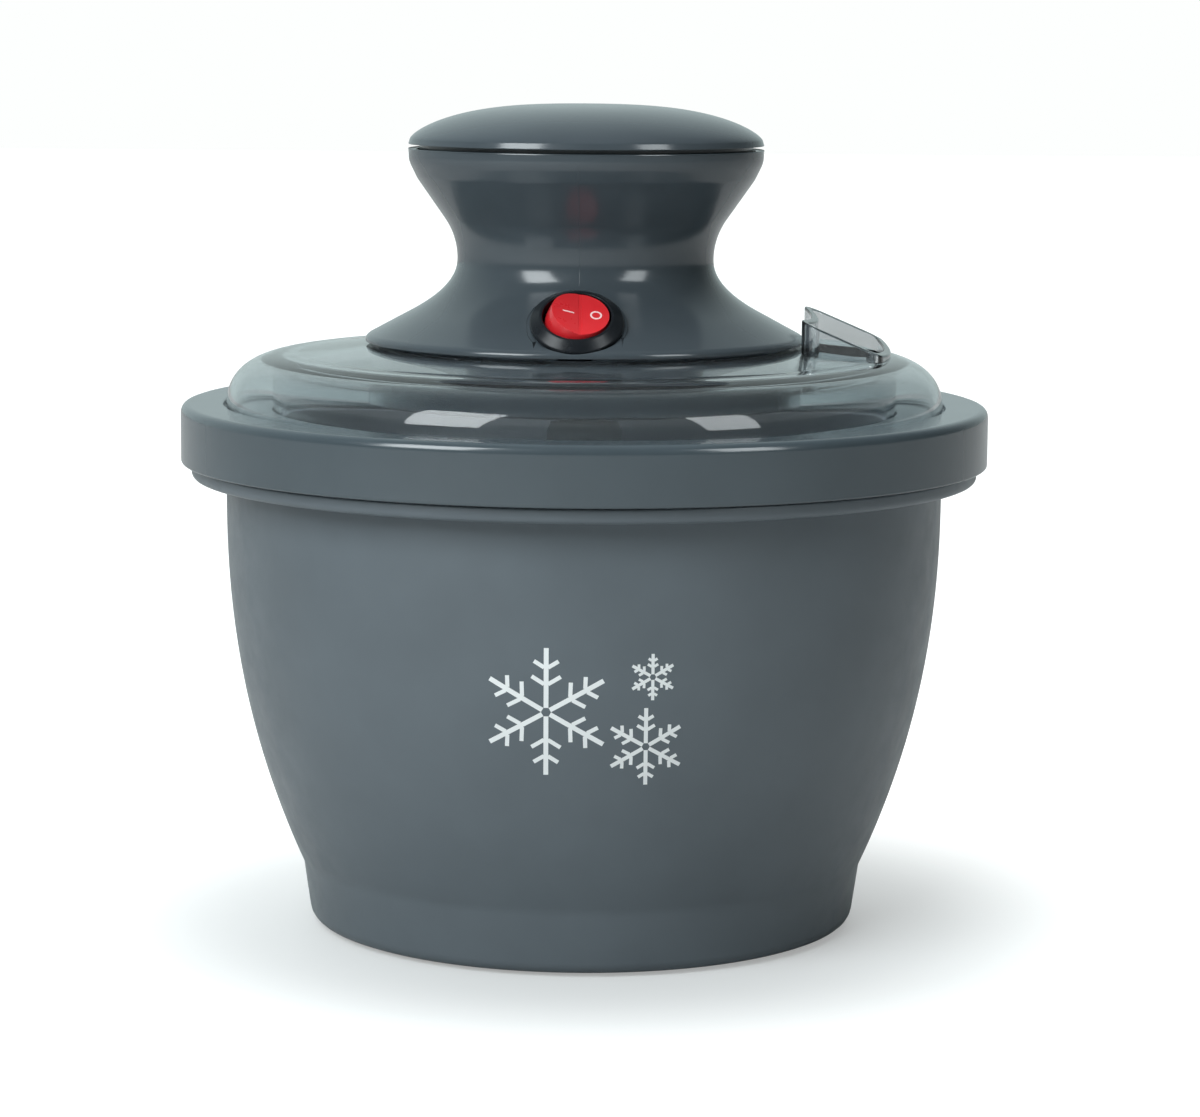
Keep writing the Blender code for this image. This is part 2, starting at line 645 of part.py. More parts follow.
def place_on_switch(item, turn=0.0, depth=0.0):
    """Put an object made about its own origin on the switch, turned about the rocker's axis."""
    matrix = switch_frame() @ Matrix.Translation((0, 0, -depth * MM)) @ Matrix.Rotation(turn, 4, "Y")
    item.matrix_world = matrix


def make_motor_housing():
    outer = neck_profile()
    housing = turned_solid("motor_housing", [(0, HEAD_TOP_Z)] + outer + [(0, SKIRT_LOW_Z)], "slate_gloss")
    boolean(housing, make_switch_pad(), "UNION")
    boolean(housing, lying_rod("gland_boss", GLAND_BOSS_RADIUS, 0.0, GLAND_FACE_Y), "UNION")
    boolean(housing, make_head_cavity(outer))
    for index, angle in enumerate(PILLAR_ANGLES):
        spot = polar(PILLAR_REACH, math.radians(angle))
        low = BASE_PLUG_LOW_Z + BASE_PLUG_WALL + GAP
        leg = rod(f"pillar_{index + 1}", PILLAR_RADIUS - 0.2, low, CONE_START_Z - 3, centre=spot)
        boolean(housing, leg, "UNION")
        boolean(housing, rod(f"pilot_{index + 1}", SCREW_PILOT, low - 1, low + 10, segments=8, centre=spot))
    for side in (-1, 1):
        spot = (side * EAR_REACH, 0)
        boolean(housing, rod(f"motor_pilot_{side}", SCREW_PILOT, CASE_LOW_Z + 1, CASE_LOW_Z + 9, segments=8,
                             centre=spot))
    hole = rod("switch_hole", SWITCH_BODY_RADIUS + GAP, -12.5, 12.5, segments=MEDIUM_ROUND)
    place_on_switch(hole, depth=7.5)
    boolean(housing, hole)
    face = rod("switch_spot_face", BEZEL_RADIUS + 0.4, -6.0, 6.0, segments=MEDIUM_ROUND)
    place_on_switch(face, depth=BEZEL_THICKNESS + GAP - 6.0)
    boolean(housing, face)
    boolean(housing, lying_rod("gland_hole", GLAND_NECK + 0.5, GLAND_FACE_Y - 18.0, GLAND_FACE_Y + 6.0))


def make_switch_pad():
    """Round pad that carries the switch, cut off level with the bottom of the skirt."""
    thick = 14.0 - BEZEL_THICKNESS - GAP
    pad = rod("switch_pad", BEZEL_RADIUS + 0.8, -thick / 2, thick / 2, segments=MEDIUM_ROUND)
    place_on_switch(pad, depth=14.0 - thick / 2)
    boolean(pad, block("pad_trim", (60, 60, 40), (0, -50, SKIRT_LOW_Z - 20)))
    return pad


def lying_rod(name, radius, start, end):
    """A cylinder along Y at the height of the cord gland."""
    item = rod(name, radius, 0.0, end - start, segments=MEDIUM_ROUND)
    item.location = Vector((0, (start + end) / 2, GLAND_Z)) * MM
    item.rotation_euler = (math.pi / 2, 0, 0)
    return item


def make_head_cavity(outer):
    """Hollow of the head, less the pillars for the base screws and the motor screws."""
    inner = offset(outer, HEAD_WALL)
    inner[0] = (HEAD_RADIUS - HEAD_WALL, HEAD_TOP_Z + 1.0)
    inner[-2:] = [(SKIRT_RADIUS - HEAD_WALL, SKIRT_LOW_Z - 1.0)]
    cavity = turned_solid("head_cavity", [(0, HEAD_TOP_Z + 1.0)] + inner + [(0, SKIRT_LOW_Z - 1.0)])
    for index, angle in enumerate(PILLAR_ANGLES):
        spot = polar(PILLAR_REACH, math.radians(angle))
        boolean(cavity, rod(f"pillar_room_{index + 1}", PILLAR_RADIUS, SKIRT_LOW_Z - 3, CONE_START_Z + 8,
                            centre=spot))
    for side in (-1, 1):
        spot = (side * EAR_REACH, 0)
        boolean(cavity, rod(f"motor_pillar_{side}", 4.0, CASE_LOW_Z + 3.2, WAIST_Z, centre=spot))
    return cavity


def make_cap():
    """Shallow dome with a short spigot that drops into the head's rim."""
    steps = 8
    profile = []
    for index in range(steps + 1):
        share = math.sin(math.pi / 2 * index / steps)
        height = CAP_EDGE_Z + CAP_RISE * (1 - share ** CAP_POWER) ** CAP_ROUNDING
        profile.append((HEAD_RADIUS * share, height))
    wall = 2.0
    spigot = HEAD_RADIUS - HEAD_WALL - 0.7
    spigot_low = CAP_LOW_Z - 3.0
    profile += [(HEAD_RADIUS, CAP_LOW_Z), (spigot, CAP_LOW_Z), (spigot, spigot_low),
                (spigot - wall, spigot_low), (spigot - wall, CAP_EDGE_Z + 0.6),
                (HEAD_RADIUS * 2 / 3, CAP_EDGE_Z + 4.2),
                (0, CAP_EDGE_Z + CAP_RISE - wall)]
    turned_solid("top_cap", profile, "slate_gloss")


def make_motor_base():
    """Tub that closes the head from below and plugs into the lid's mouth."""
    low = BASE_PLUG_LOW_Z
    inside = BASE_PLUG_RADIUS - BASE_PLUG_WALL
    floor_z = low + BASE_PLUG_WALL
    bore = BUSH_RADIUS + 0.2
    sleeve = 9.0
    chamfer = 1.5
    profile = [(BASE_PLUG_RADIUS, BASE_PLUG_TOP_Z), (BASE_PLUG_RADIUS, low + chamfer),
               (BASE_PLUG_RADIUS - chamfer, low), (bore, low), (bore, floor_z + sleeve),
               (sleeve, floor_z + sleeve), (sleeve, floor_z), (inside, floor_z), (inside, BASE_PLUG_TOP_Z)]
    base = turned("motor_base", profile, "slate_satin")
    depth = SWITCH_DEPTH + 0.8
    notch = rod("switch_notch", SWITCH_BODY_RADIUS + 0.8, -depth / 2, depth / 2, segments=MEDIUM_ROUND)
    place_on_switch(notch, depth=depth / 2)
    boolean(base, notch)
    for index, angle in enumerate(PILLAR_ANGLES):
        spot = polar(PILLAR_REACH, math.radians(angle))
        boolean(base, rod(f"screw_way_{index + 1}", 1.6, low - 1, floor_z + 1, centre=spot, segments=8))
        screw(f"base_screw_{index + 1}", spot, low - GAP, 9.0)


def screw(name, spot, seat, length):
    """A pan head screw whose shank points up from its seat."""
    profile = [(0, seat + length), (1.1, seat + length), (1.1, seat), (2.6, seat), (2.6, seat - 0.8),
               (1.8, seat - 1.5), (0, seat - 1.5)]
    turned_solid(name, profile, "steel", 10, (*spot, 0))


# ---------------------------------------------------------------- gear motor and drive

def gear_outline(teeth, turn=0.0):
    """Spur gear outline with two points on each flank's foot and tip, thinned for running play."""
    pitch = MODULE * teeth / 2
    root = pitch - 1.25 * MODULE
    tip = pitch + 0.85 * MODULE
    step = math.tau / teeth
    play = 0.12 / pitch
    half = step / 4 - play / 2
    points = []
    for index in range(teeth):
        middle = turn + step * index
        points.append(polar(root, middle - half * 1.55))
        points.append(polar(tip, middle - half * 0.50))
        points.append(polar(tip, middle + half * 0.50))
        points.append(polar(root, middle + half * 1.55))
    return points


def mesh_turn(teeth, other_teeth, other_turn, direction):
    """Turn of a gear that puts its gap where the other gear has a tooth, along a direction."""
    other_phase = (direction - other_turn) / (math.tau / other_teeth)
    return direction + math.pi + math.tau / teeth * (0.5 + other_phase)


def make_gears():
    first = polar(CENTRE_DISTANCE, FIRST_ANGLE)
    second = polar(CENTRE_DISTANCE, SECOND_ANGLE)
    layers = [LOW_LAYER_Z + LAYER_STEP * index for index in range(3)]
    bore = ring_points(AXLE_RADIUS + 0.15, 12)
    shaft_bore = ring_points(SHAFT_RADIUS + GAP, 12)
    plate("output_gear", [gear_outline(OUTPUT_TEETH), shaft_bore],
          layers[0], layers[0] + GEAR_THICKNESS, "nylon")
    second_turn = mesh_turn(SECOND_SMALL, OUTPUT_TEETH, 0.0, SECOND_ANGLE)
    between = math.atan2(first[1] - second[1], first[0] - second[0])
    first_turn = mesh_turn(FIRST_SMALL, SECOND_BIG, second_turn, between)
    pinion_turn = mesh_turn(PINION_TEETH, FIRST_BIG, first_turn, FIRST_ANGLE + math.pi)
    compound_gear("second_gear", second, (SECOND_SMALL, SECOND_BIG), second_turn, layers[0], bore)
    compound_gear("first_gear", first, (FIRST_SMALL, FIRST_BIG), first_turn, layers[1], bore)
    pinion_bore = ring_points(ROTOR_SHAFT_RADIUS + 0.1, 10)
    plate("motor_pinion", [gear_outline(PINION_TEETH, pinion_turn), pinion_bore],
          layers[2], layers[2] + GEAR_THICKNESS, "brass")
    for index, spot in enumerate((first, second)):
        rod(f"gear_axle_{index + 1}", AXLE_RADIUS, CASE_LOW_Z + 1.3, CASE_TOP_Z + 0.8, "steel", 12, spot)
    return first, second


def compound_gear(name, spot, teeth, turn, low, bore):
    """Small pinion below and large wheel above, moulded in one piece."""
    small, big = teeth
    place = (*spot, 0)
    split = low + LAYER_STEP
    wheel = plate(name, [gear_outline(big, turn), bore], split, split + GEAR_THICKNESS, "nylon", place)
    stem = plate(name + "_stem", [gear_outline(small, turn), bore], low, split + 0.4, None, place)
    boolean(wheel, stem, "UNION")


def make_gear_case(axle_spots):
    """Pressed steel cup for the gears with two screwed ears, and the cover that closes it."""
    wall = 1.6
    floor_z = CASE_LOW_Z + CASE_FLOOR
    bore = SHAFT_RADIUS + 0.2
    seat = AXLE_RADIUS + 0.2
    profile = [(CASE_RADIUS, CASE_TOP_Z), (CASE_RADIUS, CASE_LOW_Z), (bore, CASE_LOW_Z), (bore, floor_z),
               (CASE_RADIUS - wall, floor_z), (CASE_RADIUS - wall, CASE_TOP_Z)]
    case = turned("gear_case", profile, "steel", MEDIUM_ROUND)
    for index, side in enumerate((-1, 1)):
        spot = (side * EAR_REACH, 0)
        ear = plate(f"ear_{side}", [ear_outline(side)], CASE_LOW_Z + 0.2, CASE_LOW_Z + 2.9)
        boolean(case, ear, "UNION")
        boolean(case, rod(f"ear_hole_{side}", 1.6, CASE_LOW_Z - 2, CASE_LOW_Z + 5, centre=spot, segments=8))
        screw(f"gear_case_screw_{index + 1}", spot, CASE_LOW_Z - 0.1, 8.0)
    low = CASE_TOP_Z + GAP
    high = low + COVER_THICKNESS
    hole = 4.6
    cover = turned("gear_case_cover", [(CASE_RADIUS, high), (CASE_RADIUS, low), (hole, low), (hole, high)],
                   "steel", MEDIUM_ROUND)
    for index, spot in enumerate(axle_spots):
        boolean(case, rod(f"axle_seat_{index + 1}", seat, CASE_LOW_Z + 1.0, floor_z + 2, centre=spot))
        boolean(cover, rod(f"cover_seat_{index + 1}", seat, low - 1, low + 0.9, centre=spot))


def ear_outline(side):
    """A tab from inside the case wall out to a rounded end about the screw."""
    tip = [(side * (EAR_REACH + EAR_RADIUS * math.cos(angle)), side * EAR_RADIUS * math.sin(angle))
           for angle in spread(-math.pi / 2, math.pi / 2, 6)]
    root = side * (CASE_RADIUS - 1.0)
    return tip + [(root, side * EAR_RADIUS), (root, -side * EAR_RADIUS)]


def make_motor():
    """Can, bobbin and winding of the motor, with its magnet rotor, shaft and bush."""
    low = CASE_TOP_Z + GAP + COVER_THICKNESS + GAP
    top = CAN_TOP_Z
    can_in = CAN_RADIUS - CAN_WALL
    hole = ROTOR_SHAFT_RADIUS + 0.5
    can = [(CAN_RADIUS, top), (CAN_RADIUS, low), (can_in, low), (can_in, top - CAN_WALL),
           (hole, top - CAN_WALL), (hole, top)]
    motor_can = turned("motor_can", can, "steel", MEDIUM_ROUND)
    boolean(motor_can, block("lead_slot", (10.0, 6.0, 7.0), (0, CAN_RADIUS, top - 6.0)))
    inside = top - CAN_WALL - GAP
    cheek_radius = can_in - 0.6
    spool_low = low + 0.6
    cheek = 1.0
    spool_in = 12.2
    spool_out = spool_in + 1.2
    bobbin = [(cheek_radius, inside), (cheek_radius, inside - cheek), (spool_out, inside - cheek),
              (spool_out, spool_low + cheek), (cheek_radius, spool_low + cheek), (cheek_radius, spool_low),
              (spool_in, spool_low), (spool_in, inside)]
    turned("coil_bobbin", bobbin, "white", MEDIUM_ROUND)
    coil_high = inside - cheek - GAP
    coil_low = spool_low + cheek + GAP
    coil_in = spool_out + 0.4
    coil_out = cheek_radius - 1.6
    turned("stator_coil", [(coil_out, coil_high), (coil_out, coil_low), (coil_in, coil_low),
                           (coil_in, coil_high)], "copper", MEDIUM_ROUND)
    magnet_high = inside - 1.5
    magnet_low = spool_low + 1.5
    magnet_out = spool_in - 1.0
    bore = ROTOR_SHAFT_RADIUS + GAP
    turned("rotor_magnet", [(magnet_out, magnet_high), (magnet_out, magnet_low), (bore, magnet_low),
                            (bore, magnet_high)], "ferrite", MEDIUM_ROUND)
    rod("rotor_shaft", ROTOR_SHAFT_RADIUS, LOW_LAYER_Z + 2 * LAYER_STEP - 0.4, top - 0.2, "steel")
    bush_high = low + GAP
    bush_low = CASE_TOP_Z - 0.6
    bush_out = 4.2
    turned("rotor_bush", [(bush_out, bush_high), (bush_out, bush_low), (bore, bush_low), (bore, bush_high)],
           "brass", SMALL_ROUND)


def make_drive():
    """Output shaft with its hexagonal coupler, and the bush and seal it runs in."""
    bore = SHAFT_RADIUS + 0.2
    coupler_low = DASHER_TOP_Z + 4.0
    coupler_high = BASE_PLUG_LOW_Z - 0.8
    rod("output_shaft", SHAFT_RADIUS, coupler_low + 5.0, LOW_LAYER_Z + GEAR_THICKNESS + 0.3, "steel")
    plate("drive_coupler", [ring_points(COUPLER_RADIUS, 6), ring_points(bore, SMALL_ROUND)],
          coupler_low, coupler_high, "white")
    seal_low = BASE_PLUG_LOW_Z + 0.4
    seal_high = seal_low + 3.6
    bush_low = seal_high + 0.5
    for name, low, high, material in (("shaft_bush", bush_low, bush_low + 6.4, "brass"),
                                      ("shaft_seal", seal_low, seal_high, "rubber")):
        ring = [(BUSH_RADIUS, high), (BUSH_RADIUS, low), (bore, low), (bore, high)]
        turned(name, ring, material, SMALL_ROUND)


# ---------------------------------------------------------------- switch and cord gland

def make_switch():
    """Body with its bezel and a round pocket; the rocker's hinge axis runs up the slope."""
    bezel = [(POCKET_RADIUS + 0.6, BEZEL_RISE), (BEZEL_RADIUS, -0.4), (BEZEL_RADIUS, -BEZEL_THICKNESS),
             (SWITCH_BODY_RADIUS, -BEZEL_THICKNESS), (SWITCH_BODY_RADIUS, -SWITCH_DEPTH), (0, -SWITCH_DEPTH)]
    pocket = [(0, -POCKET_DEPTH), (POCKET_RADIUS - 0.6, -POCKET_DEPTH), (POCKET_RADIUS, -3.0),
              (POCKET_RADIUS, BEZEL_RISE)]
    body = turned_solid("switch_body", pocket + bezel, "black", MEDIUM_ROUND)
    place_on_switch(body)
    make_rocker()
    for index, side in enumerate((-1, 1)):
        length = 6.5
        terminal = block(f"switch_terminal_{index + 1}", (0.8, 4.8, length), (0, 0, 0), "brass")
        shift = Matrix.Translation(Vector((side * 4.0, 0, -SWITCH_DEPTH - GAP - length / 2)) * MM)
        terminal.matrix_world = switch_frame() @ shift


def make_rocker():
    """Round rocker whose top falls from both sides to a valley over its hinge."""
    top = ROCKER_VALLEY + 1.9
    sides = [(0, top), (ROCKER_RADIUS - 1.1, top), (ROCKER_RADIUS - 0.5, 3.4), (ROCKER_RADIUS, 0.6),
             (ROCKER_RADIUS, -1.2), (ROCKER_RADIUS - 1.0, -3.0), (0, -3.0)]
    rocker = turned_solid("switch_rocker", sides, "red", MEDIUM_ROUND)
    place_on_switch(rocker, ROCKER_REST, ROCKER_PIVOT_DEPTH)
    thick = 8.0
    for side in (-1, 1):
        cutter = block(f"rocker_slope_{side}", (20, 30, thick), (0, 0, 0))
        hinge = switch_frame() @ Matrix.Translation((0, 0, -ROCKER_PIVOT_DEPTH * MM))
        valley = Matrix.Rotation(ROCKER_REST, 4, "Y") @ Matrix.Translation((0, 0, ROCKER_VALLEY * MM))
        matrix = hinge @ valley @ Matrix.Rotation(-ROCKER_SLOPE * side, 4, "Y")
        cutter.matrix_world = matrix @ Matrix.Translation((side * 9.6 * MM, 0, thick / 2 * MM))
        boolean(rocker, cutter)


def make_gland():
    """Bushing for the mains cord, with a flange outside the boss and a sleeve inside."""
    flange = 5.6
    flange_low = GAP
    flange_high = 1.8
    end = -8.0
    profile = [(flange, flange_high), (flange, flange_low), (GLAND_NECK, flange_low), (GLAND_NECK, end),
               (GLAND_BORE, end), (GLAND_BORE, flange_high)]
    gland = turned("cord_gland", profile, "rubber", SMALL_ROUND)
    gland.location = Vector((0, GLAND_FACE_Y, GLAND_Z)) * MM
    gland.rotation_euler = (-math.pi / 2, 0, 0)


def main():
    make_housing()
    make_bowl_shell()
    make_liner()
    make_gel()
    make_gasket()
    make_collar()
    make_dasher()
    make_lid()
    make_motor_housing()
    make_cap()
    make_motor_base()
    make_gear_case(make_gears())
    make_motor()
    make_drive()
    make_switch()
    make_gland()


main()
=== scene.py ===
import json
import math

import bmesh
import bpy
from mathutils import Matrix, Vector


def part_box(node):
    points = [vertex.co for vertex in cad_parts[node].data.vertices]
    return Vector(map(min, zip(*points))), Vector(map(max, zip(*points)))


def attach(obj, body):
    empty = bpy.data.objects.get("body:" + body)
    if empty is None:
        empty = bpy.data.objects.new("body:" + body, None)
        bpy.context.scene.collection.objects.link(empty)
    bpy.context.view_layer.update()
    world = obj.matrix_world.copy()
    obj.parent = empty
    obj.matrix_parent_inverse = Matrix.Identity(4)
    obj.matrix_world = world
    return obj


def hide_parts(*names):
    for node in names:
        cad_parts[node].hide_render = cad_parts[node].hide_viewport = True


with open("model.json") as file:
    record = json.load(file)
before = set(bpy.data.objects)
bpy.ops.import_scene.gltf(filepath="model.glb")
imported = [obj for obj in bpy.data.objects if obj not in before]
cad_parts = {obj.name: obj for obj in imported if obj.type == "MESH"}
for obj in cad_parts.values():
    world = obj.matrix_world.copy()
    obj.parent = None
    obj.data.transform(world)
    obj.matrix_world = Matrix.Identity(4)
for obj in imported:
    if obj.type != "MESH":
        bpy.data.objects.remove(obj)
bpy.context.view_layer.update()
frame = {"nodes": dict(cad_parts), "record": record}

MM = 0.001
FINE = 192                     # segments of the large turned pieces
MEDIUM = 64


# ---------------------------------------------------------------- sizes read from the frame

def low(node):
    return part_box(node)[0]


def high(node):
    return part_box(node)[1]


COLLAR_RADIUS = high("bowl_collar")[0]
COLLAR_TOP = high("bowl_collar")[2]
LIP_RADIUS = high("outer_housing")[0]
LIP_TOP = high("outer_housing")[2]
COLLAR_LOW = LIP_TOP + 0.3 * MM
HOUSING_LOW = low("outer_housing")[2]
LID_RADIUS = high("lid")[0]
HEAD_RADIUS = high("top_cap")[0]
CAP_TOP = high("top_cap")[2]
CAP_SPIGOT_LOW = low("top_cap")[2]
CAP_LOW = CAP_SPIGOT_LOW + 3.0 * MM
HEAD_TOP = high("motor_housing")[2]
SKIRT_RADIUS = high("motor_housing")[0]
PLUG_LOW = low("motor_base")[2]
PLUG_RADIUS = high("motor_base")[0]
PLUG_TOP = high("motor_base")[2]
LINER_FLANGE = high("bowl_liner")[2]
LINER_RIM_RADIUS = high("bowl_liner")[0]
LINER_LOW = low("bowl_liner")[2]
SHELL_LOW = low("bowl_outer_shell")[2]
DASHER_LOW = low("dasher")[2] + 0.5 * MM
HUB_TOP = high("dasher")[2]
COUPLER_LOW = low("drive_coupler")[2]
COUPLER_RADIUS = high("drive_coupler")[0]

# Shape of the outside, worked out from those sizes
WALL_RADIUS = LID_RADIUS       # the housing's wall is as wide as the lid
WALL_TOP = HOUSING_LOW + 109.2 * MM
WALL_PULL_IN = 17.2 * MM
WALL_PULL_HEIGHT = 90.0 * MM
WALL_POWER = 2.23
KINK = HOUSING_LOW + 14.7 * MM
FOOT_RADIUS = 69.3 * MM
HOUSING_WALL = 2.2 * MM
COLLAR_SEAT_INNER = 79.0 * MM
LINER_MOUTH = 76.0 * MM
LINER_PULL_IN = 18.0 * MM
LINER_WALL = 1.2 * MM
SHELL_RIM_RADIUS = 85.8 * MM
LID_RING_OUTER = 78.6 * MM
LID_RING_INNER = 77.0 * MM
LIP_DROP = 3.7 * MM
LID_LOW = COLLAR_TOP - 1.0 * MM
LID_DOME_RADIUS = LID_RADIUS - 18.6 * MM
LID_DOME_Z = COLLAR_TOP + 12.7 * MM
LID_DOME_SLOPE = 0.12
LID_SHOULDER_POWER = 2.4
LID_WALL = 2.2 * MM
LID_MOUTH = PLUG_RADIUS + 0.8 * MM
SKIRT_LOW = LID_DOME_Z + 2.8 * MM
WAIST = Vector((32.35 * MM, HEAD_TOP - 27.8 * MM))
FLARE_START = WAIST.y - 14.0 * MM
FLARE_SLOPE = 1.85
HEAD_WALL = 2.0 * MM
NECK_ARC = 17.5 * MM
NECK_CONE_ANGLE = math.radians(34.6)
NECK_CONE_TOP = HEAD_TOP - 6.8 * MM
SWITCH_TILT = math.radians(53)
SWITCH_CENTRE = Vector((-2.0, -46.2, 156.9)) * MM
BEZEL_RADIUS = 11.4 * MM
BEZEL_THICKNESS = 1.3 * MM
SWITCH_BODY_RADIUS = 9.9 * MM
SWITCH_DEPTH = 14.0 * MM
BEZEL_RISE = 1.4 * MM
POCKET_RADIUS = 8.35 * MM
ROCKER_RADIUS = 7.9 * MM
ROCKER_PIVOT_DEPTH = 2.0 * MM
ROCKER_REST = math.radians(11)
ROCKER_VALLEY = 3.9 * MM
ROCKER_SLOPE = math.radians(7)
CHUTE_ANGLE = math.radians(-4.5)
CHUTE_HALF_WIDTH = 21.0 * MM
CHUTE_INNER = SKIRT_RADIUS + 1.7 * MM
CHUTE_OUTER = 77.3 * MM
CHUTE_CORNER = 5.0 * MM
CHUTE_WALL = 1.8 * MM
CHUTE_TOP = 156.3 * MM
CHUTE_TOP_REACH = 54.4 * MM
CHUTE_SLOPE = 0.425
CHUTE_LEAN = 0.03
DASHER_CLEARANCE = 2.5 * MM
DASHER_RAIL = 9.0 * MM
HUB_RADIUS = 9.5 * MM
GLAND_FACE = Vector((0, 41.0, 163.5)) * MM
GLAND_BORE = 3.2 * MM
GLAND_NECK = 4.1 * MM


# ---------------------------------------------------------------- mesh helpers

def soften(points, steps=5):
    """Replace each corner (radius, height, fillet) by a small curve; plain points stay."""
    result = []
    count = len(points)
    for index, point in enumerate(points):
        if len(point) == 2 or point[2] == 0:
            result.append((point[0], point[1]))
            continue
        corner = Vector(point[:2])
        before = Vector(points[index - 1][:2])
        after = Vector(points[(index + 1) % count][:2])
        fillet = min(point[2], (corner - before).length * 0.48, (corner - after).length * 0.48)
        start = corner + (before - corner).normalized() * fillet
        end = corner + (after - corner).normalized() * fillet
        for step in range(steps + 1):
            t = step / steps
            curve = start * (1 - t) ** 2 + corner * 2 * t * (1 - t) + end * t ** 2
            result.append((curve.x, curve.y))
    return result


def spread(first, last, steps):
    return [first + (last - first) * index / steps for index in range(steps + 1)]


def offset(profile, distance):
    """Move a profile that runs from top to bottom inwards by a wall thickness."""
    moved = []
    last = len(profile) - 1
    for index, point in enumerate(profile):
        before = Vector(profile[max(index - 1, 0)][:2])
        after = Vector(profile[min(index + 1, last)][:2])
        along = (after - before).normalized()
        moved.append((point[0] + along.y * distance, point[1] - along.x * distance))
    return moved


def link(obj):
    bpy.context.scene.collection.objects.link(obj)
    return obj


def finish_mesh(obj, angle=32):
    obj.data.shade_smooth()
    obj.data.set_sharp_from_angle(angle=math.radians(angle))
    step = obj.modifiers.new("Normals", "WEIGHTED_NORMAL")
    step.keep_sharp = True
    return obj


def turned_mesh(name, profile, segments=FINE, closed=True):
    """Mesh of a profile of (radius, height), outer side from top to bottom, turned about Z."""
    bm = bmesh.new()
    columns = []
    for step in range(segments):
        angle = math.tau * step / segments
        cosine = math.cos(angle)
        sine = math.sin(angle)
        columns.append([bm.verts.new((radius * cosine, radius * sine, height)) for radius, height in profile])
    rows = len(profile)
    last = rows if closed else rows - 1
    for step in range(segments):
        here = columns[step]
        there = columns[(step + 1) % segments]
        for row in range(last):
            following = (row + 1) % rows
            bm.faces.new((here[row], here[following], there[following], there[row]))
    bmesh.ops.remove_doubles(bm, verts=bm.verts, dist=1e-7)
    mesh = bpy.data.meshes.new(name)
    bm.to_mesh(mesh)
    bm.free()
    return mesh


def turned(name, profile, material, segments=FINE, closed=True):
    obj = link(bpy.data.objects.new(name, turned_mesh(name, profile, segments, closed)))
    obj.data.materials.append(material)
    return obj


def cylinder(name, radius, bottom, top, segments=MEDIUM, edge=0.0):
    """Cylinder along Z. Given an edge size, its rim folds back on itself instead of rounding."""
    profile = [(0.0, top)] + soften([(radius, top, edge), (radius, bottom)]) + [(0.0, bottom)]
    if edge == 0.0:
        profile = [(0.0, top), (radius, top), (radius, bottom), (0.0, bottom)]
    return bpy.data.objects.new(name, turned_mesh(name, profile, segments, closed=False))


def slab(name, size):
    bm = bmesh.new()
    bmesh.ops.create_cube(bm, size=1.0)
    bmesh.ops.scale(bm, vec=Vector(size), verts=bm.verts)
    mesh = bpy.data.meshes.new(name)
    bm.to_mesh(mesh)
    bm.free()
    return bpy.data.objects.new(name, mesh)


def prism_mesh(name, outline, bottom, top):
    """Closed prism on a flat outline that runs anticlockwise."""
    bm = bmesh.new()
    lower = [bm.verts.new((x, y, bottom)) for x, y in outline]
    upper = [bm.verts.new((x, y, top)) for x, y in outline]
    count = len(outline)
    for index in range(count):
        following = (index + 1) % count
        bm.faces.new((lower[index], lower[following], upper[following], upper[index]))
    bm.faces.new(upper)
    bm.faces.new(lower[::-1])
    mesh = bpy.data.meshes.new(name)
    bm.to_mesh(mesh)
    bm.free()
    return mesh


def combine(obj, other, operation="DIFFERENCE"):
    """Apply a Boolean with a helper object, which is removed afterwards."""
    if other.name not in bpy.context.scene.collection.objects:
        link(other)
    step = obj.modifiers.new("Combine", "BOOLEAN")
    step.operation = operation
    step.solver = "EXACT"
    step.object = other
    bake(obj)
    bpy.data.objects.remove(other, do_unlink=True)
    return obj


def bake(obj):
    """Replace an object's mesh by what its modifiers make of it."""
    if obj.name not in bpy.context.scene.collection.objects:
        link(obj)
    bpy.context.view_layer.update()
    evaluated = obj.evaluated_get(bpy.context.evaluated_depsgraph_get())
    mesh = bpy.data.meshes.new_from_object(evaluated)
    obj.modifiers.clear()
    obj.data = mesh
    return obj


def bevel(obj, width, segments=3, angle=40):
    step = obj.modifiers.new("Bevel", "BEVEL")
    step.width = width
    step.segments = segments
    step.limit_method = "ANGLE"
    step.angle_limit = math.radians(angle)
    step.harden_normals = False
    return obj


def polar(radius, angle):
    return (radius * math.cos(angle), radius * math.sin(angle))


# ---------------------------------------------------------------- materials

def new_material(name):
    material = bpy.data.materials.new(name)
    material.use_nodes = True
    return material, material.node_tree.nodes, material.node_tree.links


def noise(nodes, links, scale, detail=2.0, roughness=0.5):
    coordinates = nodes.new("ShaderNodeTexCoord")
    texture = nodes.new("ShaderNodeTexNoise")
    texture.inputs["Scale"].default_value = scale
    texture.inputs["Detail"].default_value = detail
    texture.inputs["Roughness"].default_value = roughness
    links.new(coordinates.outputs["Object"], texture.inputs["Vector"])
    return texture


def ranged(nodes, links, source, first, last, smallest=0.3, largest=0.7):
    step = nodes.new("ShaderNodeMapRange")
    step.inputs["From Min"].default_value = smallest
    step.inputs["From Max"].default_value = largest
    step.inputs["To Min"].default_value = first
    step.inputs["To Max"].default_value = last
    links.new(source, step.inputs["Value"])
    return step.outputs["Result"]


def tinted(nodes, links, source, dark, light):
    ramp = nodes.new("ShaderNodeValToRGB")
    ramp.color_ramp.elements[0].position = 0.3
    ramp.color_ramp.elements[0].color = (*dark, 1.0)
    ramp.color_ramp.elements[1].position = 0.7
    ramp.color_ramp.elements[1].color = (*light, 1.0)
    links.new(source, ramp.inputs["Fac"])
    return ramp.outputs["Color"]


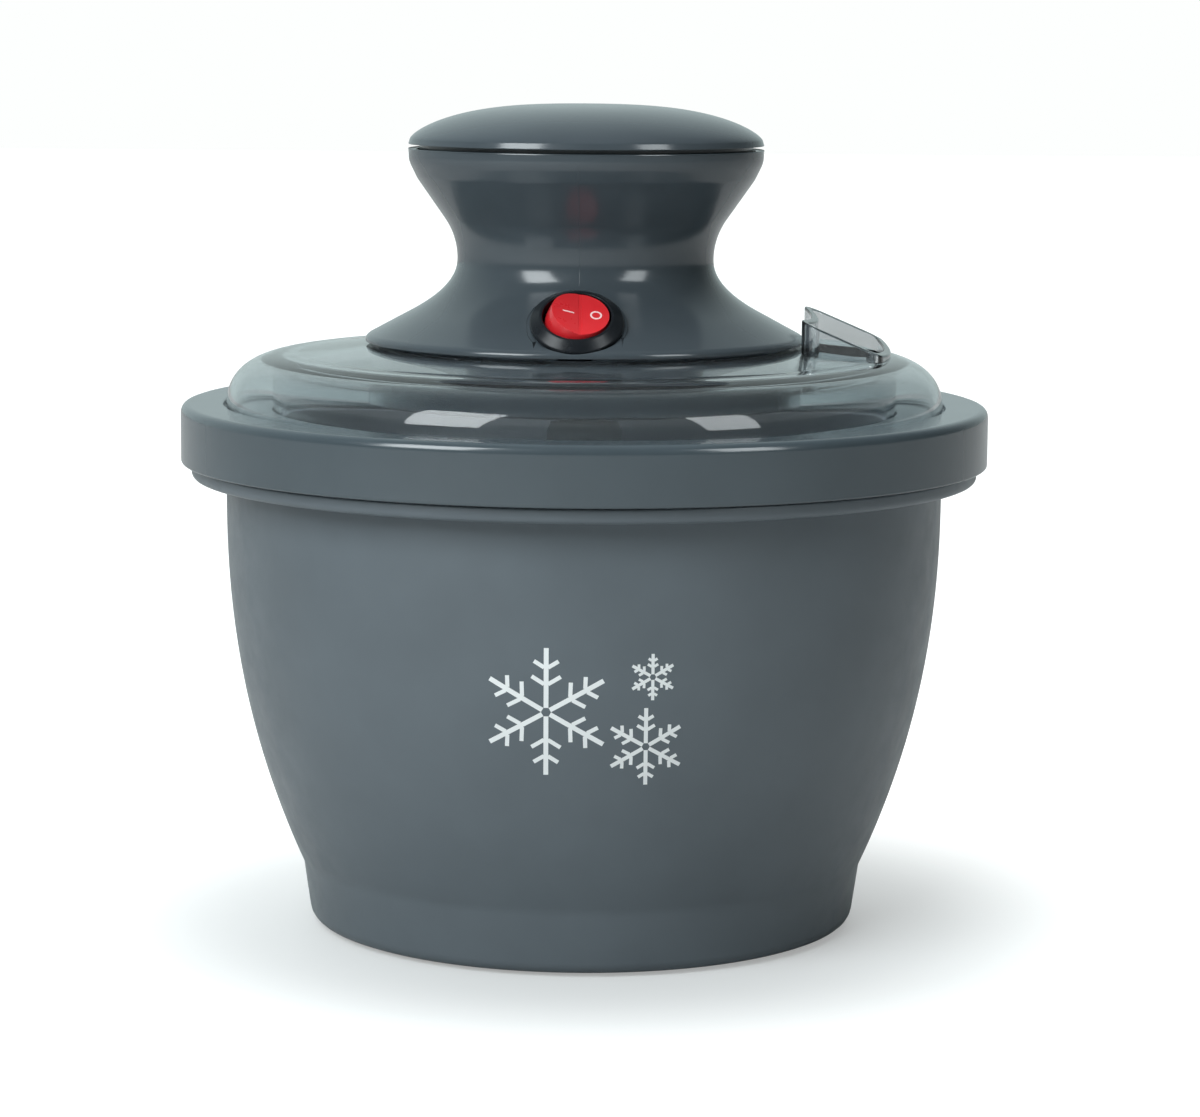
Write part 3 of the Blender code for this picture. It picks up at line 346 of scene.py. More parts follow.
def bumped(nodes, links, source, strength, distance, shader, under=None):
    bump = nodes.new("ShaderNodeBump")
    bump.inputs["Strength"].default_value = strength
    bump.inputs["Distance"].default_value = distance
    links.new(source, bump.inputs["Height"])
    if under:
        links.new(under.outputs["Normal"], bump.inputs["Normal"])
    links.new(bump.outputs["Normal"], shader.inputs["Normal"])
    return bump


def moulded(name, colour, roughness, grain=0.0, ripple=0.0, variation=0.05, specular=0.5, coat=0.0,
            unevenness=0.15):
    """Moulded or cast surface: faint tone changes, uneven gloss, fine grain and slow ripple."""
    material, nodes, links = new_material(name)
    shader = nodes["Principled BSDF"]
    tone = noise(nodes, links, 45.0, 3.0)
    dark = tuple(channel * (1 - variation) for channel in colour)
    light = tuple(min(channel * (1 + variation), 1.0) for channel in colour)
    links.new(tinted(nodes, links, tone.outputs["Fac"], dark, light), shader.inputs["Base Color"])
    gloss = noise(nodes, links, 130.0, 4.0, 0.6)
    polished = roughness * (1 - unevenness)
    worn = roughness * (1 + unevenness)
    links.new(ranged(nodes, links, gloss.outputs["Fac"], polished, worn), shader.inputs["Roughness"])
    shader.inputs["IOR"].default_value = 1.5
    shader.inputs["Specular IOR Level"].default_value = specular
    shader.inputs["Coat Weight"].default_value = coat
    shader.inputs["Coat Roughness"].default_value = 0.08
    under = None
    if ripple:
        slow = noise(nodes, links, 28.0, 1.0)
        under = bumped(nodes, links, slow.outputs["Fac"], ripple, 0.4 * MM, shader)
    if grain:
        fine = noise(nodes, links, 1800.0, 2.0, 0.6)
        bumped(nodes, links, fine.outputs["Fac"], grain, 0.05 * MM, shader, under)
    return material


def brushed(name, colour, roughness, rings=True, metallic=1.0):
    """Turned or brushed metal: fine lines round the axis, or along the piece."""
    material, nodes, links = new_material(name)
    shader = nodes["Principled BSDF"]
    coordinates = nodes.new("ShaderNodeTexCoord")
    stretch = nodes.new("ShaderNodeMapping")
    stretch.inputs["Scale"].default_value = (1.0, 1.0, 60.0) if rings else (60.0, 60.0, 1.0)
    links.new(coordinates.outputs["Object"], stretch.inputs["Vector"])
    texture = nodes.new("ShaderNodeTexNoise")
    texture.inputs["Scale"].default_value = 60.0
    texture.inputs["Detail"].default_value = 4.0
    links.new(stretch.outputs["Vector"], texture.inputs["Vector"])
    dark = tuple(channel * 0.88 for channel in colour)
    links.new(tinted(nodes, links, texture.outputs["Fac"], dark, colour), shader.inputs["Base Color"])
    links.new(ranged(nodes, links, texture.outputs["Fac"], roughness * 0.75, roughness * 1.25),
              shader.inputs["Roughness"])
    shader.inputs["Metallic"].default_value = metallic
    bumped(nodes, links, texture.outputs["Fac"], 0.15, 0.05 * MM, shader)
    return material


def clear_plastic(name):
    """Clear moulded plastic with a faint cool tint, slow ripples and very light surface haze."""
    material, nodes, links = new_material(name)
    shader = nodes["Principled BSDF"]
    shader.inputs["Transmission Weight"].default_value = 0.992
    shader.inputs["IOR"].default_value = 1.49
    tone = noise(nodes, links, 20.0, 2.0)
    links.new(tinted(nodes, links, tone.outputs["Fac"], (0.86, 0.88, 0.89), (0.89, 0.91, 0.92)),
              shader.inputs["Base Color"])
    gloss = noise(nodes, links, 90.0, 3.0)
    links.new(ranged(nodes, links, gloss.outputs["Fac"], 0.015, 0.05), shader.inputs["Roughness"])
    slow = noise(nodes, links, 35.0, 1.0)
    bumped(nodes, links, slow.outputs["Fac"], 0.12, 0.4 * MM, shader)
    let_lamps_through(nodes, links, shader)
    depth = nodes.new("ShaderNodeVolumeAbsorption")
    depth.inputs["Color"].default_value = (0.25, 0.36, 0.40, 1.0)
    depth.inputs["Density"].default_value = 26.0
    links.new(depth.outputs["Volume"], nodes["Material Output"].inputs["Volume"])
    return material


def let_lamps_through(nodes, links, shader):
    """Lamps shine through the clear plastic instead of leaving everything under it in shadow."""
    path = nodes.new("ShaderNodeLightPath")
    pass_on = nodes.new("ShaderNodeBsdfTransparent")
    pass_on.inputs["Color"].default_value = (0.80, 0.82, 0.84, 1.0)
    either = nodes.new("ShaderNodeMixShader")
    links.new(path.outputs["Is Shadow Ray"], either.inputs["Fac"])
    links.new(shader.outputs["BSDF"], either.inputs[1])
    links.new(pass_on.outputs["BSDF"], either.inputs[2])
    links.new(either.outputs["Shader"], nodes["Material Output"].inputs["Surface"])


def striped_copper(name):
    """Enamelled winding: tight turns round the bobbin."""
    material, nodes, links = new_material(name)
    shader = nodes["Principled BSDF"]
    coordinates = nodes.new("ShaderNodeTexCoord")
    wave = nodes.new("ShaderNodeTexWave")
    wave.bands_direction = "Z"
    wave.inputs["Scale"].default_value = 900.0
    links.new(coordinates.outputs["Object"], wave.inputs["Vector"])
    links.new(tinted(nodes, links, wave.outputs["Fac"], (0.35, 0.13, 0.06), (0.75, 0.36, 0.20)),
              shader.inputs["Base Color"])
    shader.inputs["Metallic"].default_value = 1.0
    shader.inputs["Roughness"].default_value = 0.32
    bumped(nodes, links, wave.outputs["Fac"], 0.5, 0.2 * MM, shader)
    return material


SATIN = moulded("satin_slate", (0.106, 0.127, 0.143), 0.36, grain=0.05, ripple=0.02, specular=0.42)
GLOSS = moulded("gloss_slate", (0.058, 0.072, 0.083), 0.165, ripple=0.03, unevenness=0.08)
COLLAR = moulded("collar_slate", (0.058, 0.076, 0.088), 0.17, ripple=0.01, specular=0.62, unevenness=0.05)
BLACK = moulded("black_plastic", (0.010, 0.012, 0.015), 0.30, grain=0.05, specular=0.25)
RED = moulded("red_plastic", (0.66, 0.020, 0.027), 0.30, grain=0.03, variation=0.08, coat=0.2)
WHITE = moulded("white_plastic", (0.80, 0.80, 0.78), 0.38, grain=0.06, variation=0.03)
INK = moulded("white_ink", (0.80, 0.82, 0.82), 0.45, grain=0.08, variation=0.04)
MARK = moulded("switch_mark", (0.90, 0.62, 0.62), 0.40, grain=0.02, variation=0.05)
NYLON = moulded("nylon", (0.80, 0.77, 0.67), 0.42, grain=0.08, variation=0.05)
RUBBER = moulded("rubber", (0.022, 0.022, 0.024), 0.75, grain=0.30, variation=0.12)
GEL = moulded("coolant", (0.22, 0.45, 0.70), 0.30, variation=0.15)
FERRITE = moulded("ferrite", (0.07, 0.07, 0.075), 0.50, grain=0.25, variation=0.15)
ALUMINIUM = brushed("anodised_aluminium", (0.42, 0.44, 0.46), 0.5, metallic=0.4)
STEEL = brushed("brushed_steel", (0.58, 0.58, 0.60), 0.32)
BRASS = brushed("turned_brass", (0.72, 0.55, 0.26), 0.28)
COPPER = striped_copper("winding")
CLEAR = clear_plastic("clear_lid")

BY_SLOT = {
    "housing_plastic": SATIN, "gloss_plastic": GLOSS, "collar_plastic": COLLAR, "clear_lid": CLEAR,
    "black_plastic": BLACK, "red_plastic": RED, "white_plastic": WHITE, "gel": GEL, "rubber": RUBBER,
    "aluminium": ALUMINIUM, "steel": STEEL, "brass": BRASS, "copper": COPPER, "ferrite": FERRITE,
    "nylon": NYLON,
}


def dress_nodes():
    """Every CAD node takes its material from its slot in the record."""
    slots = {part["node"]: part["material_slot"] for part in frame["record"]["subparts"]}
    for name, obj in frame["nodes"].items():
        if not obj.material_slots:
            obj.data.materials.append(BY_SLOT[slots[name]])
        for place in obj.material_slots:
            place.link = "OBJECT"
            place.material = BY_SLOT[slots[name]]


def settle(obj, body, slot, *nodes, angle=32):
    """Shade a finished piece, hang it on its body and let it stand for its CAD nodes."""
    finish_mesh(obj, angle)
    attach(obj, body)
    if nodes:
        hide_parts(*nodes)
    return obj


# ---------------------------------------------------------------- housing

def wall_radius(height):
    drop = max(WALL_TOP - height, 0.0) / WALL_PULL_HEIGHT
    return WALL_RADIUS - WALL_PULL_IN * drop ** WALL_POWER


def housing_wall(steps=40):
    return [(wall_radius(height), height) for height in spread(WALL_TOP, KINK, steps)]


def make_housing():
    lip_low = LIP_TOP - LIP_DROP
    wall = housing_wall()
    fillet = 3.0 * MM
    outer = [(LIP_RADIUS, LIP_TOP, 0.7 * MM), (LIP_RADIUS, lip_low, 2.7 * MM),
             (WALL_RADIUS, lip_low, 1.2 * MM)] + wall
    outer += [(FOOT_RADIUS, HOUSING_LOW, fillet)]
    floor = HOUSING_LOW + 2.5 * MM
    inner = offset(wall, HOUSING_WALL)
    inner = [(WALL_RADIUS - HOUSING_WALL, LIP_TOP, 0.8 * MM)] + inner
    inner.append((FOOT_RADIUS - HOUSING_WALL, floor, 4.0 * MM))
    profile = soften([(0.0, floor)] + inner[::-1] + outer + [(0.0, HOUSING_LOW)])
    housing = turned("housing_shell", profile, SATIN, closed=False)
    settle(housing, "housing", "housing_plastic", "outer_housing")


# ---------------------------------------------------------------- freezer bowl

def make_collar():
    """Broad ring with a stepped seat for the lid, a resting rib and a locating wall."""
    seat = LID_RADIUS + 0.6 * MM
    seat_z = LID_LOW - 0.3 * MM
    under = COLLAR_TOP - 2.2 * MM
    seat_under = LINER_FLANGE + 0.3 * MM
    wall_low = LIP_TOP - 4.7 * MM
    wall_out = WALL_RADIUS - HOUSING_WALL - 0.5 * MM
    wall_in = wall_out - 1.6 * MM
    rib_out = wall_out + 6.0 * MM
    rib_in = rib_out - 2.0 * MM
    band_in = COLLAR_RADIUS - 2.2 * MM
    edge = 0.4 * MM
    profile = soften([
        (COLLAR_RADIUS, COLLAR_TOP, 2.4 * MM), (COLLAR_RADIUS, COLLAR_LOW, 0.6 * MM),
        (band_in, COLLAR_LOW, edge), (band_in, under, edge), (rib_out, under, edge),
        (rib_out, COLLAR_LOW, edge), (rib_in, COLLAR_LOW, edge), (rib_in, seat_under),
        (wall_out, seat_under), (wall_out, wall_low, edge), (wall_in, wall_low, edge),
        (wall_in, seat_under), (COLLAR_SEAT_INNER, seat_under, edge),
        (COLLAR_SEAT_INNER, seat_z, edge), (seat, seat_z, 0.2 * MM), (seat, COLLAR_TOP, 0.6 * MM)], 6)
    settle(turned("collar_ring", profile, COLLAR), "bowl", "collar_plastic", "bowl_collar")


def liner_radius(height):
    floor = LINER_LOW + LINER_WALL
    share = (LINER_FLANGE - height) / (LINER_FLANGE - floor)
    return LINER_MOUTH - LINER_PULL_IN * share ** 2


def make_liner():
    """Turned aluminium bowl with a rolled rim and a centre pivot for the dasher."""
    wall = LINER_WALL
    floor = LINER_LOW + wall
    inner = [(LINER_MOUTH, LINER_FLANGE, 0.6 * MM)]
    heights = spread(LINER_FLANGE - 1.5 * MM, floor + 7 * MM, 20)
    inner += [(liner_radius(height), height) for height in heights]
    foot = inner[-1][0]
    inner += [(foot - 0.3 * MM, floor, 5.5 * MM)]
    outer = [(LINER_MOUTH + wall, LINER_FLANGE - wall)]
    outer += [(radius + wall, height) for radius, height in inner[1:-1]]
    outer += [(foot - 0.3 * MM + wall, LINER_LOW, 5.5 * MM)]
    rim = [(LINER_RIM_RADIUS, LINER_FLANGE, 0.5 * MM), (LINER_RIM_RADIUS, LINER_FLANGE - wall, 0.4 * MM)]
    pivot = [(0.0, floor + 11.5 * MM), (4.0 * MM, floor + 10.0 * MM, 0.8 * MM),
             (5.5 * MM, floor + 1.5 * MM, MM), (8.0 * MM, floor, 0.8 * MM)]
    profile = soften(pivot + inner[::-1] + rim + outer + [(0.0, LINER_LOW)])
    settle(turned("liner_bowl", profile, ALUMINIUM, closed=False), "bowl", "aluminium", "bowl_liner")


def shell_radius(height):
    room = HOUSING_WALL + 3.4 * MM
    return min(wall_radius(height), WALL_RADIUS) - room


def make_bowl_shell():
    """Outer wall of the freezer bowl, seen when the bowl is lifted out."""
    wall = 1.8 * MM
    rim_z = LINER_FLANGE - 4.4 * MM
    outer = [(shell_radius(height), height) for height in spread(rim_z, 20 * MM, 24)]
    foot = shell_radius(17.0 * MM)
    outer += [(foot - 0.4 * MM, SHELL_LOW, 3.5 * MM)]
    inner = offset([point[:2] for point in outer[:-1]], wall)
    inner[0] = (inner[0][0], rim_z + 1.5 * MM)
    inner.append((inner[-1][0] - 0.8 * MM, SHELL_LOW + wall, 2.5 * MM))
    rim = [(SHELL_RIM_RADIUS, rim_z + 1.5 * MM, 0.3 * MM), (SHELL_RIM_RADIUS, rim_z, 0.3 * MM)]
    profile = soften([(0.0, SHELL_LOW + wall)] + inner[::-1] + rim + outer + [(0.0, SHELL_LOW)])
    shell = turned("shell_bowl", profile, SATIN, closed=False)
    hole = cylinder("fill_hole", 4.3 * MM, SHELL_LOW - 2 * MM, SHELL_LOW + 4 * MM)
    hole.location = (30.0 * MM, 0, 0)
    combine(shell, hole)
    settle(shell, "bowl", "housing_plastic", "bowl_outer_shell")


def make_feet():
    for index in range(1, 5):
        node = f"foot_{index}"
        centre = (Vector(low(node)) + Vector(high(node))) / 2
        top = high(node)[2]
        radius = (high(node)[0] - low(node)[0]) / 2
        profile = soften([(0.0, top), (radius, top, 0.2 * MM), (radius, 0.0, 0.7 * MM),
                          (4.2 * MM, 0.0, 0.2 * MM), (3.6 * MM, 0.5 * MM, 0.3 * MM), (0.0, 0.5 * MM)])
        foot = turned(f"foot_pad_{index}", profile, RUBBER, MEDIUM, closed=False)
        foot.location = (centre.x, centre.y, 0)
        settle(foot, "housing", "rubber", node)


# ---------------------------------------------------------------- dasher

def upright(obj):
    """Stand a prism up, so that the height of its outline runs along Z."""
    obj.matrix_world = Matrix.Rotation(math.pi / 2, 4, "X")
    return obj


def dasher_window(bottom, top):
    """Opening between the hub and the rail that follows the liner, with rounded corners."""
    rail = DASHER_CLEARANCE + DASHER_RAIL
    inner = HUB_RADIUS + 2 * MM
    corner = 4 * MM
    return soften([(inner, bottom, corner), (liner_radius(bottom) - rail, bottom, corner),
                   (liner_radius(top) - rail, top, corner), (inner, top, corner)])


def mirrored(outline):
    return [(-x, height) for x, height in outline[::-1]]


def make_dasher():
    """Paddle with two windowed arms that follow the liner, on a hub with a hexagonal socket."""
    top = COUPLER_LOW - 4 * MM
    edge_low = DASHER_LOW + 5 * MM
    window_low = edge_low + 4 * MM
    window_high = top - DASHER_RAIL
    middle = (window_low + window_high) / 2
    edge = [(liner_radius(height) - DASHER_CLEARANCE, height) for height in spread(edge_low, top, 16)]
    right = [(edge[0][0] - 6 * MM, DASHER_LOW, 2 * MM)] + edge[:-1] + [(*edge[-1], 4 * MM)]
    arm = soften(right)
    half = 1.6 * MM
    blade = upright(bpy.data.objects.new("blade", prism_mesh("blade", arm + mirrored(arm), -half, half)))
    windows = [dasher_window(window_low, middle - 4 * MM), dasher_window(middle + 4 * MM, window_high)]
    for window in windows + [mirrored(window) for window in windows]:
        cutter = prism_mesh("window", window, -2 * half, 2 * half)
        combine(blade, upright(bpy.data.objects.new("window", cutter)))
    bevel(blade, 0.7 * MM, 3, 50)
    bake(blade)
    hub_low = DASHER_LOW - 0.5 * MM
    hub = soften([(0, HUB_TOP), (HUB_RADIUS - 0.9 * MM, HUB_TOP, 0.7 * MM),
                  (HUB_RADIUS, HUB_TOP - 3.5 * MM, MM), (HUB_RADIUS, hub_low, MM), (0, hub_low)])
    combine(blade, bpy.data.objects.new("hub", turned_mesh("hub", hub, MEDIUM, closed=False)), "UNION")
    socket = [polar(COUPLER_RADIUS + 0.4 * MM, math.tau * index / 6) for index in range(6)]
    combine(blade, bpy.data.objects.new("socket", prism_mesh("socket", socket, top, HUB_TOP + 2 * MM)))
    floor = LINER_LOW + LINER_WALL
    bearing = [(0, floor + 14 * MM), (4.6 * MM, floor + 12 * MM), (6.4 * MM, floor), (0, floor)]
    combine(blade, bpy.data.objects.new("bearing", turned_mesh("bearing", bearing, MEDIUM, closed=False)))
    blade.name = "paddle"
    blade.data.materials.clear()
    blade.data.materials.append(WHITE)
    settle(blade, "dasher_body", "white_plastic", "dasher")


# ---------------------------------------------------------------- lid

def lid_profile(steps=28):
    mouth_z = LID_DOME_Z + LID_DOME_SLOPE * (LID_DOME_RADIUS - LID_MOUTH)
    profile = [(LID_MOUTH, mouth_z)]
    width = LID_RADIUS - LID_DOME_RADIUS
    rise = LID_DOME_Z - LID_LOW
    for index in range(steps + 1):
        angle = math.pi / 2 * index / steps
        profile.append((LID_DOME_RADIUS + width * math.sin(angle) ** (2 / LID_SHOULDER_POWER),
                        LID_LOW + rise * math.cos(angle) ** (2 / LID_SHOULDER_POWER)))
    return profile


def arc(centre, radius, start, end, steps):
    return [(centre[0] + radius * math.cos(angle), centre[1] + radius * math.sin(angle))
            for angle in spread(start, end, steps)]


def chute_outline(inset):
    """Plan of the chute: parallel sides, arcs about the axis at both ends, rounded corners."""
    corner = CHUTE_CORNER - inset
    side = CHUTE_HALF_WIDTH - CHUTE_CORNER
    outer = CHUTE_OUTER - CHUTE_CORNER
    inner = CHUTE_INNER + CHUTE_CORNER
    outer_angle = math.asin(side / outer)
    inner_angle = math.asin(side / inner)
    upper = [polar(outer + corner, angle) for angle in spread(0.0, outer_angle, 8)[:-1]]
    upper += arc(polar(outer, outer_angle), corner, outer_angle, math.pi / 2, 8)
    upper += arc(polar(inner, inner_angle), corner, math.pi / 2, math.pi + inner_angle, 8)
    upper += [polar(inner - corner, angle) for angle in spread(inner_angle, 0.0, 8)[1:]]
    outline = upper + [(x, -y) for x, y in reversed(upper[1:-1])]
    turn = Matrix.Rotation(CHUTE_ANGLE, 2)
    return [tuple(turn @ Vector(point)) for point in outline]


def chute_slant():
    """Large block whose underside is the slanted rim plane of the chute."""
    tall = 0.03
    block = slab("slant", (0.1, 0.1, tall))
    middle = (CHUTE_TOP_REACH + CHUTE_OUTER) / 2
    rim = CHUTE_TOP - CHUTE_SLOPE * (middle - CHUTE_TOP_REACH)
    turn = Matrix.Rotation(CHUTE_ANGLE, 4, "Z")
    tilt = Matrix.Rotation(math.atan(CHUTE_SLOPE), 4, "Y")
    lean = Matrix.Rotation(math.atan(CHUTE_LEAN), 4, "X")
    raised = Matrix.Translation((0, 0, tall / 2))
    block.matrix_world = turn @ Matrix.Translation((middle, 0, rim)) @ tilt @ lean @ raised
    return block


def make_chute():
    """The hopper as a tube of its own, with its slanted rim rounded."""
    top = CHUTE_TOP + 6 * MM
    tube = bpy.data.objects.new("chute", prism_mesh("chute", chute_outline(0.0), LID_DOME_Z - 3.4 * MM, top))
    combine(tube, chute_slant())
    inside = prism_mesh("chute_bore", chute_outline(CHUTE_WALL), LID_DOME_Z - 20 * MM, top + MM)
    combine(tube, bpy.data.objects.new("chute_bore", inside))
    bevel(tube, 0.45 * MM, 3, 50)
    return bake(tube)


def make_lid():
    outer = lid_profile()
    wall = offset(outer, LID_WALL)
    ring_out = LID_RING_OUTER
    ring_in = LID_RING_INNER
    ring_low = LINER_FLANGE + 0.7 * MM
    under = [point for point in wall if point[0] > ring_out + 1.2 * MM][:-1]
    before = [point for point in wall if LID_MOUTH + 3 * MM < point[0] < ring_in - 0.8 * MM]
    under.append((LID_RADIUS - LID_WALL, LID_LOW, 0.5 * MM))
    root = under[0][1] + 0.3 * MM
    ring = [(ring_out, root, 0.4 * MM), (ring_out, ring_low, 0.4 * MM), (ring_in, ring_low, 0.4 * MM),
            (ring_in, root + 0.4 * MM, 0.4 * MM)]
    mouth_low = PLUG_LOW + MM
    throat = [(LID_MOUTH + 2 * MM, outer[0][1] - LID_WALL, 0.8 * MM),
              (LID_MOUTH + 2 * MM, mouth_low, 0.6 * MM), (LID_MOUTH, mouth_low, 0.6 * MM)]
    top = [(outer[0][0], outer[0][1], 0.6 * MM)] + outer[1:-1] + [(LID_RADIUS, LID_LOW, 0.4 * MM)]
    lid = turned("clear_cover", soften(top + under[::-1] + ring + before[::-1] + throat, 4), CLEAR)
    hole = prism_mesh("chute_hole", chute_outline(CHUTE_WALL * 0.6), LID_DOME_Z - 22 * MM, CHUTE_TOP)
    combine(lid, bpy.data.objects.new("chute_hole", hole))
    combine(lid, make_chute(), "UNION")
    settle(lid, "lid_body", "clear_lid", "lid", angle=30)


# ---------------------------------------------------------------- motor head

def neck_profile():
    """Outside of the motor housing from its top lip down to the bottom of the skirt."""
    cosine = math.cos(NECK_CONE_ANGLE)
    arc_top = Vector((WAIST.x + NECK_ARC * (1 - cosine), WAIST.y + NECK_ARC * math.sin(NECK_CONE_ANGLE)))
    cone_top = arc_top.x + math.tan(NECK_CONE_ANGLE) * (NECK_CONE_TOP - arc_top.y)
    shoulder = cone_top + (HEAD_RADIUS - cone_top) * 0.98
    profile = [(HEAD_RADIUS, HEAD_TOP, 0.5 * MM), (HEAD_RADIUS, NECK_CONE_TOP + 3.6 * MM, 3.0 * MM),
               (shoulder - 1.2 * MM, NECK_CONE_TOP + 1.0 * MM, 1.2 * MM),
               (cone_top - 0.6 * MM, NECK_CONE_TOP - MM)]
    for angle in spread(NECK_CONE_ANGLE, 0.0, 14):
        profile.append((WAIST.x + NECK_ARC * (1 - math.cos(angle)), WAIST.y + NECK_ARC * math.sin(angle)))
    for height in spread(WAIST.y, FLARE_START, 18)[1:]:
        growth = ((WAIST.y - height) / (9.0 * MM)) ** 2.1
        profile.append((WAIST.x + 5.15 * MM * growth, height))
    foot_z = SKIRT_LOW + 1.8 * MM
    profile.append((profile[-1][0] + FLARE_SLOPE * (FLARE_START - foot_z), foot_z, 0.6 * MM))
    profile += [(SKIRT_RADIUS, SKIRT_LOW + 1.0 * MM, 0.7 * MM), (SKIRT_RADIUS, SKIRT_LOW, 0.3 * MM)]
    return profile


def switch_matrix(depth=0.0, turn=0.0):
    """Local Z looks out of the switch's face and local Y runs up the slope."""
    tilt = Matrix.Rotation(math.pi / 2 - SWITCH_TILT, 4, "X")
    sink = Matrix.Translation((0, 0, -depth))
    return Matrix.Translation(SWITCH_CENTRE) @ tilt @ sink @ Matrix.Rotation(turn, 4, "Y")


def on_switch(obj, depth=0.0, turn=0.0):
    obj.matrix_world = switch_matrix(depth, turn)
    return obj


def lying_cylinder(name, radius, start, end, height, edge=0.0):
    """Cylinder along Y; an edge size changes its far end."""
    rod = cylinder(name, radius, start, end, MEDIUM, edge)
    rod.matrix_world = Matrix.Translation((0, 0, height)) @ Matrix.Rotation(-math.pi / 2, 4, "X")
    return rod


def make_motor_housing():
    outer = soften(neck_profile(), 6)
    solid = [(0.0, HEAD_TOP)] + outer + [(0.0, SKIRT_LOW)]
    housing = turned("head_shell", solid, GLOSS, closed=False)
    face = BEZEL_THICKNESS + 0.3 * MM
    pad = on_switch(cylinder("pad", BEZEL_RADIUS + 0.8 * MM, -14 * MM, -face, 128, 0.3 * MM))
    trim = slab("pad_trim", (0.08, 0.08, 0.04))
    trim.location = (0, -0.05, SKIRT_LOW - 0.02)
    combine(pad, trim)
    combine(housing, pad, "UNION")
    gland_z = (low("cord_gland")[2] + high("cord_gland")[2]) / 2
    gland_face = high("cord_gland")[1] - 1.8 * MM
    combine(housing, lying_cylinder("gland_boss", 6.4 * MM, 0.0, gland_face, gland_z, 0.8 * MM), "UNION")
    wall = offset(neck_profile(), HEAD_WALL)
    wall[0] = (HEAD_RADIUS - HEAD_WALL, HEAD_TOP + MM)
    wall[-2:] = [(SKIRT_RADIUS - HEAD_WALL, SKIRT_LOW - MM)]
    cavity = [(0.0, HEAD_TOP + MM)] + wall + [(0.0, SKIRT_LOW - MM)]
    combine(housing, bpy.data.objects.new("cavity", turned_mesh("cavity", cavity, 96, closed=False)))
    combine(housing, on_switch(cylinder("switch_hole", SWITCH_BODY_RADIUS + 0.3 * MM, -20 * MM, 5 * MM, 96)))
    combine(housing, on_switch(cylinder("spot_face", BEZEL_RADIUS + 0.35 * MM, -face, 12 * MM, 96)))
    combine(housing, lying_cylinder("gland_hole", 4.6 * MM, 0.02, 0.05, gland_z))
    settle(housing, "motor_unit", "gloss_plastic", "motor_housing", angle=28)


def make_seams():
    """Faint parting lines left by the mould at the front and back of the neck."""
    profile = soften(neck_profile(), 6)
    for name, angle in (("front", math.radians(-92.5)), ("back", math.radians(88.0))):
        lowest = SKIRT_LOW + (16.2 if name == "front" else 23.5) * MM
        points = [(r, z) for r, z in profile if lowest < z < HEAD_TOP - 3 * MM]
        curve = bpy.data.curves.new("seam_" + name, "CURVE")
        curve.dimensions = "3D"
        curve.bevel_depth = 0.13 * MM
        curve.bevel_resolution = 2
        curve.use_fill_caps = True
        spline = curve.splines.new("POLY")
        spline.points.add(len(points) - 1)
        for point, (radius, height) in zip(spline.points, points):
            x, y = polar(radius - 0.07 * MM, angle)
            point.co = (x, y, height, 1.0)
        seam = link(bpy.data.objects.new("seam_" + name, curve))
        seam.data.materials.append(GLOSS)
        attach(seam, "motor_unit")


def make_cap():
    """Shallow dome with a narrow leaning band along its edge and a spigot inside the housing."""
    band_in = 0.33 * MM
    band_z = CAP_LOW + 1.3 * MM
    width = HEAD_RADIUS - band_in
    rise = CAP_TOP - band_z
    dome = []
    for angle in spread(0.0, math.pi / 2, 40)[:-1]:
        share = math.sin(angle)
        dome.append((width * share, band_z + rise * (1 - share ** 2.8) ** 0.72))
    spigot = HEAD_RADIUS - HEAD_WALL - 0.7 * MM
    spigot_wall = 1.8 * MM
    rim = [(width, band_z, 0.2 * MM), (HEAD_RADIUS, CAP_LOW + 0.2 * MM, 0.1 * MM),
           (HEAD_RADIUS, CAP_LOW, 0.1 * MM), (spigot, CAP_LOW), (spigot, CAP_SPIGOT_LOW, 0.4 * MM),
           (spigot - spigot_wall, CAP_SPIGOT_LOW, 0.4 * MM), (spigot - spigot_wall, band_z),
           (30 * MM, band_z + 3.5 * MM), (0.0, CAP_TOP - 2.4 * MM)]
    cap = turned("cap_dome", soften(dome + rim), GLOSS, closed=False)
    settle(cap, "motor_unit", "gloss_plastic", "top_cap")


def make_motor_base():
    """Tub that closes the head from below, with plain plug walls and a bearing tube."""
    inside = PLUG_RADIUS - 2 * MM
    floor = PLUG_LOW + 2 * MM
    bore = 4.6 * MM
    edge = 0.4 * MM
    profile = soften([(PLUG_RADIUS, PLUG_TOP, edge), (PLUG_RADIUS, PLUG_LOW, 1.5 * MM),
                      (bore, PLUG_LOW, edge), (bore, floor + 9 * MM, edge), (9 * MM, floor + 9 * MM, edge),
                      (9 * MM, floor, MM), (inside, floor, 0.8 * MM), (inside, PLUG_TOP, edge)])
    base = turned("plug_tub", profile, GLOSS)
    for angle in (30, 90, 150):
        hole = cylinder("screw_hole", 1.6 * MM, PLUG_LOW - MM, floor + MM, 24)
        hole.location = (*polar(41 * MM, math.radians(angle)), 0)
        combine(base, hole)
    combine(base, on_switch(cylinder("notch", SWITCH_BODY_RADIUS + 0.8 * MM, -30 * MM, 0.0, 48)))
    settle(base, "motor_unit", "housing_plastic", "motor_base")


# ---------------------------------------------------------------- switch

